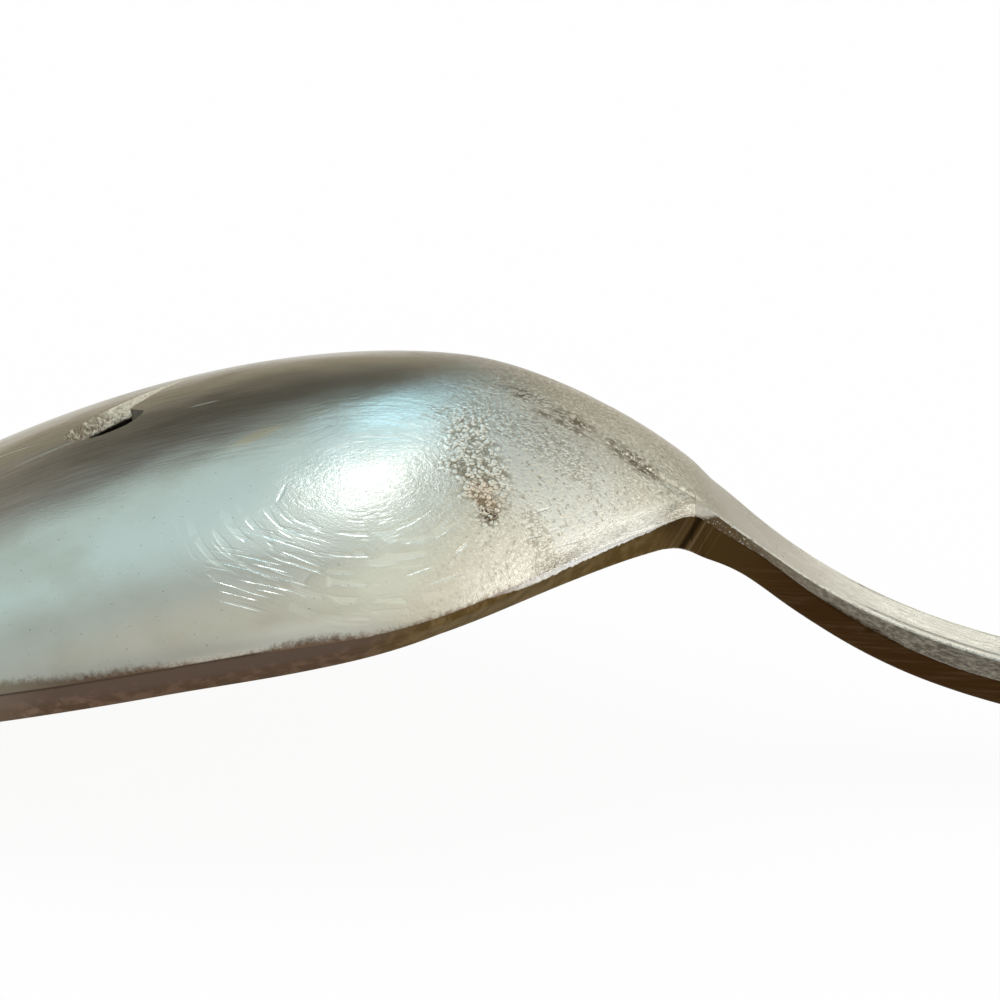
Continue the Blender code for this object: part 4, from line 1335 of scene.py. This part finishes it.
def handleMaterial():
    finish = SimpleNamespace(**handleFinish)
    plated = SimpleNamespace(**bowlFinish)
    material, tree = newFinish("worn silver handle")
    at = placesOf(tree, *handleMesh["masks"])
    at.drawn = noiseOf(tree, stretched(tree, at.solid, finish.drawnSize), *finish.drawn)
    at.scraped = noiseOf(tree, stretched(tree, at.solid, finish.scrapedSize), *finish.scraped)
    cloudy = patchy(tree, at.solid, *finish.cloud)

    # at the joint it starts as the bowl's plate
    fromJoint = ramp(tree, at.along, *finish.plateFade)
    plate = layered(tree, plated.silver,
                    (times(tree, patchy(tree, at.solid, *plated.cloud), 0.55), plated.patina),
                    (times(tree, patchy(tree, at.solid, *finish.plateFlecks), 0.7), plated.bright))
    # the stem is darker silver near the neck and cream further along: the darker silver is painted shade for
    # the duller reflection there
    stem = layered(tree, finish.silver, (ramp(tree, at.along, *finish.creamFrom), finish.cream),
                   (times(tree, cloudy, 0.25), finish.patina))
    tint = mixColour(tree, fromJoint, plated.edgeTint, finish.edgeTint)

    # bevel and sides meet in ragged lines
    low = less(tree, at.slide, ramp(tree, at.along, *finish.bevelLow))
    onBevel = total(tree, at.bevel, ramp(tree, at.scraped, 0.3, 0.7, -0.35, 0.35))
    onBevel = times(tree, ramp(tree, onBevel, 0.3, 0.6), ramp(tree, low, -0.15, 0.05))
    # lips: rubbed bright, and painted white as a highlight line along the edge's rounding
    onLip = times(tree, ramp(tree, at.lip, 0.5, 0.9), patchy(tree, at.solid, *finish.lipPatches))
    onSide = ramp(tree, total(tree, at.edge, ramp(tree, at.scraped, 0.3, 0.7, -0.2, 0.2)), 0.35, 0.65)
    rubbed = total(tree, times(tree, window(tree, at.along, *finish.rubbed), finish.rubbedRise), at.slide,
                   ramp(tree, at.scraped, 0.3, 0.7, -0.1, 0.1))
    onSide = most(tree, onSide, ramp(tree, rubbed, 1.0, 1.1))
    colour = layered(tree, plate, (fromJoint, stem),
                     (times(tree, ramp(tree, at.drawn, 0.42, 0.66), 0.35), finish.patina),
                     (onBevel, scuffedBevel(tree, at, finish)), (onLip, finish.lip),
                     (at.groove, finish.groove),
                     (onSide, handleSide(tree, at, finish)), (times(tree, at.under, 0.5), finish.patina))

    dullness = most(tree, at.edge, less(tree, at.bevel, at.lip), times(tree, cloudy, 0.4))
    roughness = ramp(tree, dullness, 0.0, 1.0, finish.polish, finish.dull)
    peel = times(tree, noiseOf(tree, at.solid, *plated.peel), ramp(tree, at.along, *finish.peelAlong),
                 ramp(tree, at.edge, 0.0, 0.3, 1.0, 0.15))
    dents = times(tree, noiseOf(tree, at.solid, *finish.dents), finish.dentDepth)
    chips = times(tree, at.scraped, finish.chipDepth, at.bevel)
    scratches = brushing(tree, at.plan, finish.brushing, finish.brushShift)
    height = less(tree, total(tree, peel, dents, chips), scratches)
    return metal(material, colour, roughness, height, tint)


# a joint piece takes the bowl's plate where chosen faces show in the bowl's back
def plateFaces(piece, places, chosen):
    setAttribute(piece, "toRim", np.full(len(places), 9.0))        # far from any rim
    piece.data.materials.append(bowlShell.data.materials["worn silver plate"])
    for face in piece.data.polygons:
        face.material_index = int(chosen(face))


knockEdge(handleForged, handleMesh["knocks"])
handlePlaces = markPiece(handleForged, handlePoints, handleMasks, handleMesh["masks"])
handleForged.data.materials.append(handleMaterial())
plateFaces(handleForged, handlePlaces, lambda face: face.center.x / mm - neckX < stemStart - 1e-4)

# Solder's finish: dark and dull in the joint
solderFinish = {"silver": (0.20, 0.17, 0.13), "grey": (0.09, 0.07, 0.05), "roughness": 0.45,
                "grain": (4.0, 3.0), "grainHeight": 0.02, "ribbonDepth": 0.1}


def solderMaterial():
    finish = SimpleNamespace(**solderFinish)
    material, tree = newFinish("silver solder")
    grain = noiseOf(tree, solidPlace(tree), *finish.grain)
    colour = mixColour(tree, ramp(tree, grain, 0.4, 0.65), finish.silver, finish.grey)
    height = times(tree, grain, finish.grainHeight)
    return metal(material, colour, finish.roughness, height, bowlFinish["edgeTint"])


beadPlaces = vertexPlaces(bead)
beadSunk = sunkBelow(beadPlaces)
setAttribute(bead, "form", formPlaces(beadPlaces))
bead.data.materials.append(solderMaterial())
plateFaces(bead, beadPlaces, lambda face: beadSunk[list(face.vertices)].max() < solderFinish["ribbonDepth"])
print("finishes:", ", ".join(material.name for material in bpy.data.materials))

for piece, node, slot in ((bowlShell, "bowl", "bowl_silver"), (handleForged, "handle", "handle_silver"),
                          (bead, "solder_seam", "solder")):
    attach(piece, "root")
    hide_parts(node)
    piece.data.shade_smooth()
    piece.data.set_sharp_from_angle(angle=math.radians(50.0))

# Camera at the photograph's angle, close to the neck
cameraView = {"target": (-23.6, 0.0, 10.246), "elevation": 15.0, "roll": 3.0,
              "distance": 200.0, "lens": 180.0}


def placeCamera():
    tilt = math.radians(cameraView["elevation"])
    roll = math.radians(cameraView["roll"])
    back = Vector((0.0, -math.cos(tilt), math.sin(tilt)))
    right = Vector((1.0, 0.0, 0.0))
    up = back.cross(right)
    across = right * math.cos(roll) + up * math.sin(roll)
    upward = up * math.cos(roll) - right * math.sin(roll)
    data = bpy.data.cameras.new("camera")
    data.lens = cameraView["lens"]
    data.clip_start = 0.01
    camera = bpy.data.objects.new("camera", data)
    bpy.context.scene.collection.objects.link(camera)
    turn = Matrix((across, upward, back)).transposed().to_4x4()
    stand = Vector(cameraView["target"]) + back * cameraView["distance"]
    camera.matrix_world = Matrix.Translation(stand * mm) @ turn
    bpy.context.scene.camera = camera


# Light tent with soft coloured cards: it shows in the metal and not to the camera
lightTent = {
    "radius": 1.0, "cloth": (0.37, 0.385, 0.37),
    # azimuth from the camera towards the handle, elevation, half width, half height, softness, colour
    "cards": (
        (-122.0, 54.0, 52.0, 30.0, 0.5, (0.42, 0.49, 0.48)),
        (-149.0, 50.0, 28.0, 19.0, 0.5, (0.56, 0.72, 0.74)),
        (0.0, 62.0, 32.0, 24.0, 0.6, (0.54, 0.55, 0.49)),
        (0.0, 6.0, 30.0, 18.0, 0.5, (0.60, 0.58, 0.52)),
        (88.0, 34.0, 42.0, 34.0, 0.6, (0.79, 0.765, 0.64)),
        (104.0, 14.0, 17.0, 11.0, 0.5, (1.05, 1.02, 0.93)),
        (58.0, 74.0, 20.0, 16.0, 0.6, (0.78, 0.82, 0.72)),
        (110.5, 32.5, 9.0, 8.0, 0.6, (1.10, 1.11, 1.04)),
        (123.0, 43.5, 9.0, 7.0, 0.6, (0.745, 0.775, 0.69)),
        (116.0, -2.0, 18.0, 10.0, 0.5, (4.6, 4.5, 4.12)),
        (178.0, -4.0, 60.0, 14.0, 0.4, (0.47, 0.435, 0.36)),
        (-167.0, 22.0, 19.0, 9.5, 0.4, (0.29, 0.275, 0.25)),
        (-157.0, 30.0, 8.0, 4.5, 0.5, (0.18, 0.185, 0.175)),
        (-171.5, 21.0, 14.5, 8.0, 0.35, (0.10, 0.093, 0.078)),
        (169.0, 25.0, 14.0, 9.0, 0.5, (0.28, 0.25, 0.20)),
        (166.5, 13.5, 9.0, 6.0, 0.5, (1.60, 1.60, 1.50)),
        (-175.5, 35.5, 4.6, 4.6, 0.4, (1.45, 2.60, 3.30)),
        (-175.0, 72.0, 14.0, 10.0, 0.7, (0.90, 1.04, 1.04)),
    ),
}


def heading(azimuth, elevation):
    turn = math.radians(azimuth)
    rise = math.radians(elevation)
    return Vector((math.sin(turn) * math.cos(rise), -math.cos(turn) * math.cos(rise), math.sin(rise)))


def cardShare(tree, way, azimuth, elevation, wide, tall, soft):
    ahead = heading(azimuth, elevation)
    upward = heading(azimuth, elevation + 90.0)
    squares = []
    for axis, size in ((ahead.cross(upward), wide), (upward, tall)):
        out = calc(tree, "DIVIDE", vectorCalc(tree, "DOT_PRODUCT", way, axis), math.sin(math.radians(size)))
        squares.append(times(tree, out, out))
    far = calc(tree, "SQRT", total(tree, *squares))
    front = calc(tree, "GREATER_THAN", vectorCalc(tree, "DOT_PRODUCT", way, ahead), 0.0)
    return times(tree, ramp(tree, far, 1.0 + soft, 1.0 - soft), front)


def raiseTent():
    material, tree = newFinish("tent cloth")
    way = vectorCalc(tree, "NORMALIZE", addNode(tree, "ShaderNodeTexCoord", {}).outputs["Object"])
    colour = lightTent["cloth"]
    for *card, tone in lightTent["cards"]:
        colour = mixColour(tree, cardShare(tree, way, *card), colour, tone)
    glow = addNode(tree, "ShaderNodeEmission", {"Color": colour})
    addNode(tree, "ShaderNodeOutputMaterial", {0: glow.outputs[0]})
    bm = bmesh.new()
    bmesh.ops.create_icosphere(bm, subdivisions=5, radius=lightTent["radius"])
    mesh = bpy.data.meshes.new("light_tent")
    bm.to_mesh(mesh)
    bm.free()
    mesh.materials.append(material)
    tent = bpy.data.objects.new("light_tent", mesh)
    bpy.context.scene.collection.objects.link(tent)
    tent.visible_camera = tent.visible_diffuse = tent.visible_shadow = False
    tent.visible_transmission = False


# Lamp that makes the white highlight on the bowl's shoulder
lampSet = {"azimuth": -170.5, "elevation": 58.3, "distance": 0.9, "size": 0.066, "power": 0.22,
           "colour": (0.93, 1.0, 1.06)}


def hangLamp():
    lamp = bpy.data.lights.new("lamp", "AREA")
    lamp.shape = "DISK"
    lamp.size = lampSet["size"]
    lamp.energy = lampSet["power"]
    lamp.color = lampSet["colour"]
    hung = bpy.data.objects.new("lamp", lamp)
    way = heading(lampSet["azimuth"], lampSet["elevation"])
    hung.location = way * lampSet["distance"]
    hung.rotation_euler = way.to_track_quat("Z", "Y").to_euler()
    bpy.context.scene.collection.objects.link(hung)


# White floor: glows a little to the eye and in the metal, and keeps the spoon's shadow
floorSet = {"size": 6.0, "white": (0.92, 0.92, 0.92), "glow": 0.92}


def layFloor():
    material, tree = newFinish("white floor")
    path = addNode(tree, "ShaderNodeLightPath", {}).outputs
    seen = most(tree, path["Is Camera Ray"], path["Is Glossy Ray"], path["Is Transmission Ray"])
    matt = addNode(tree, "ShaderNodeBsdfDiffuse", {"Color": rgba(floorSet["white"])})
    glow = addNode(tree, "ShaderNodeEmission", {"Color": (1.0, 1.0, 1.0, 1.0), "Strength": 1.0})
    share = times(tree, seen, floorSet["glow"])
    both = addNode(tree, "ShaderNodeMixShader", {0: share, 1: matt.outputs[0], 2: glow.outputs[0]})
    addNode(tree, "ShaderNodeOutputMaterial", {0: both.outputs[0]})
    half = floorSet["size"] / 2
    corners = [(half * x, half * y, 0.0) for x, y in ((-1, -1), (1, -1), (1, 1), (-1, 1))]
    mesh = bpy.data.meshes.new("floor")
    mesh.from_pydata(corners, [], [(0, 1, 2, 3)])
    mesh.materials.append(material)
    floor = bpy.data.objects.new("floor", mesh)
    bpy.context.scene.collection.objects.link(floor)


def whiteWorld():
    world = bpy.data.worlds.new("white room")
    bpy.context.scene.world = world
    world.use_nodes = True
    background = world.node_tree.nodes["Background"]
    background.inputs["Color"].default_value = (1.0, 1.0, 1.0, 1.0)
    background.inputs["Strength"].default_value = 1.0


placeCamera()
raiseTent()
hangLamp()
layFloor()
whiteWorld()
bpy.context.scene.view_settings.view_transform = "Standard"
print("camera, tent, lamp and floor set")
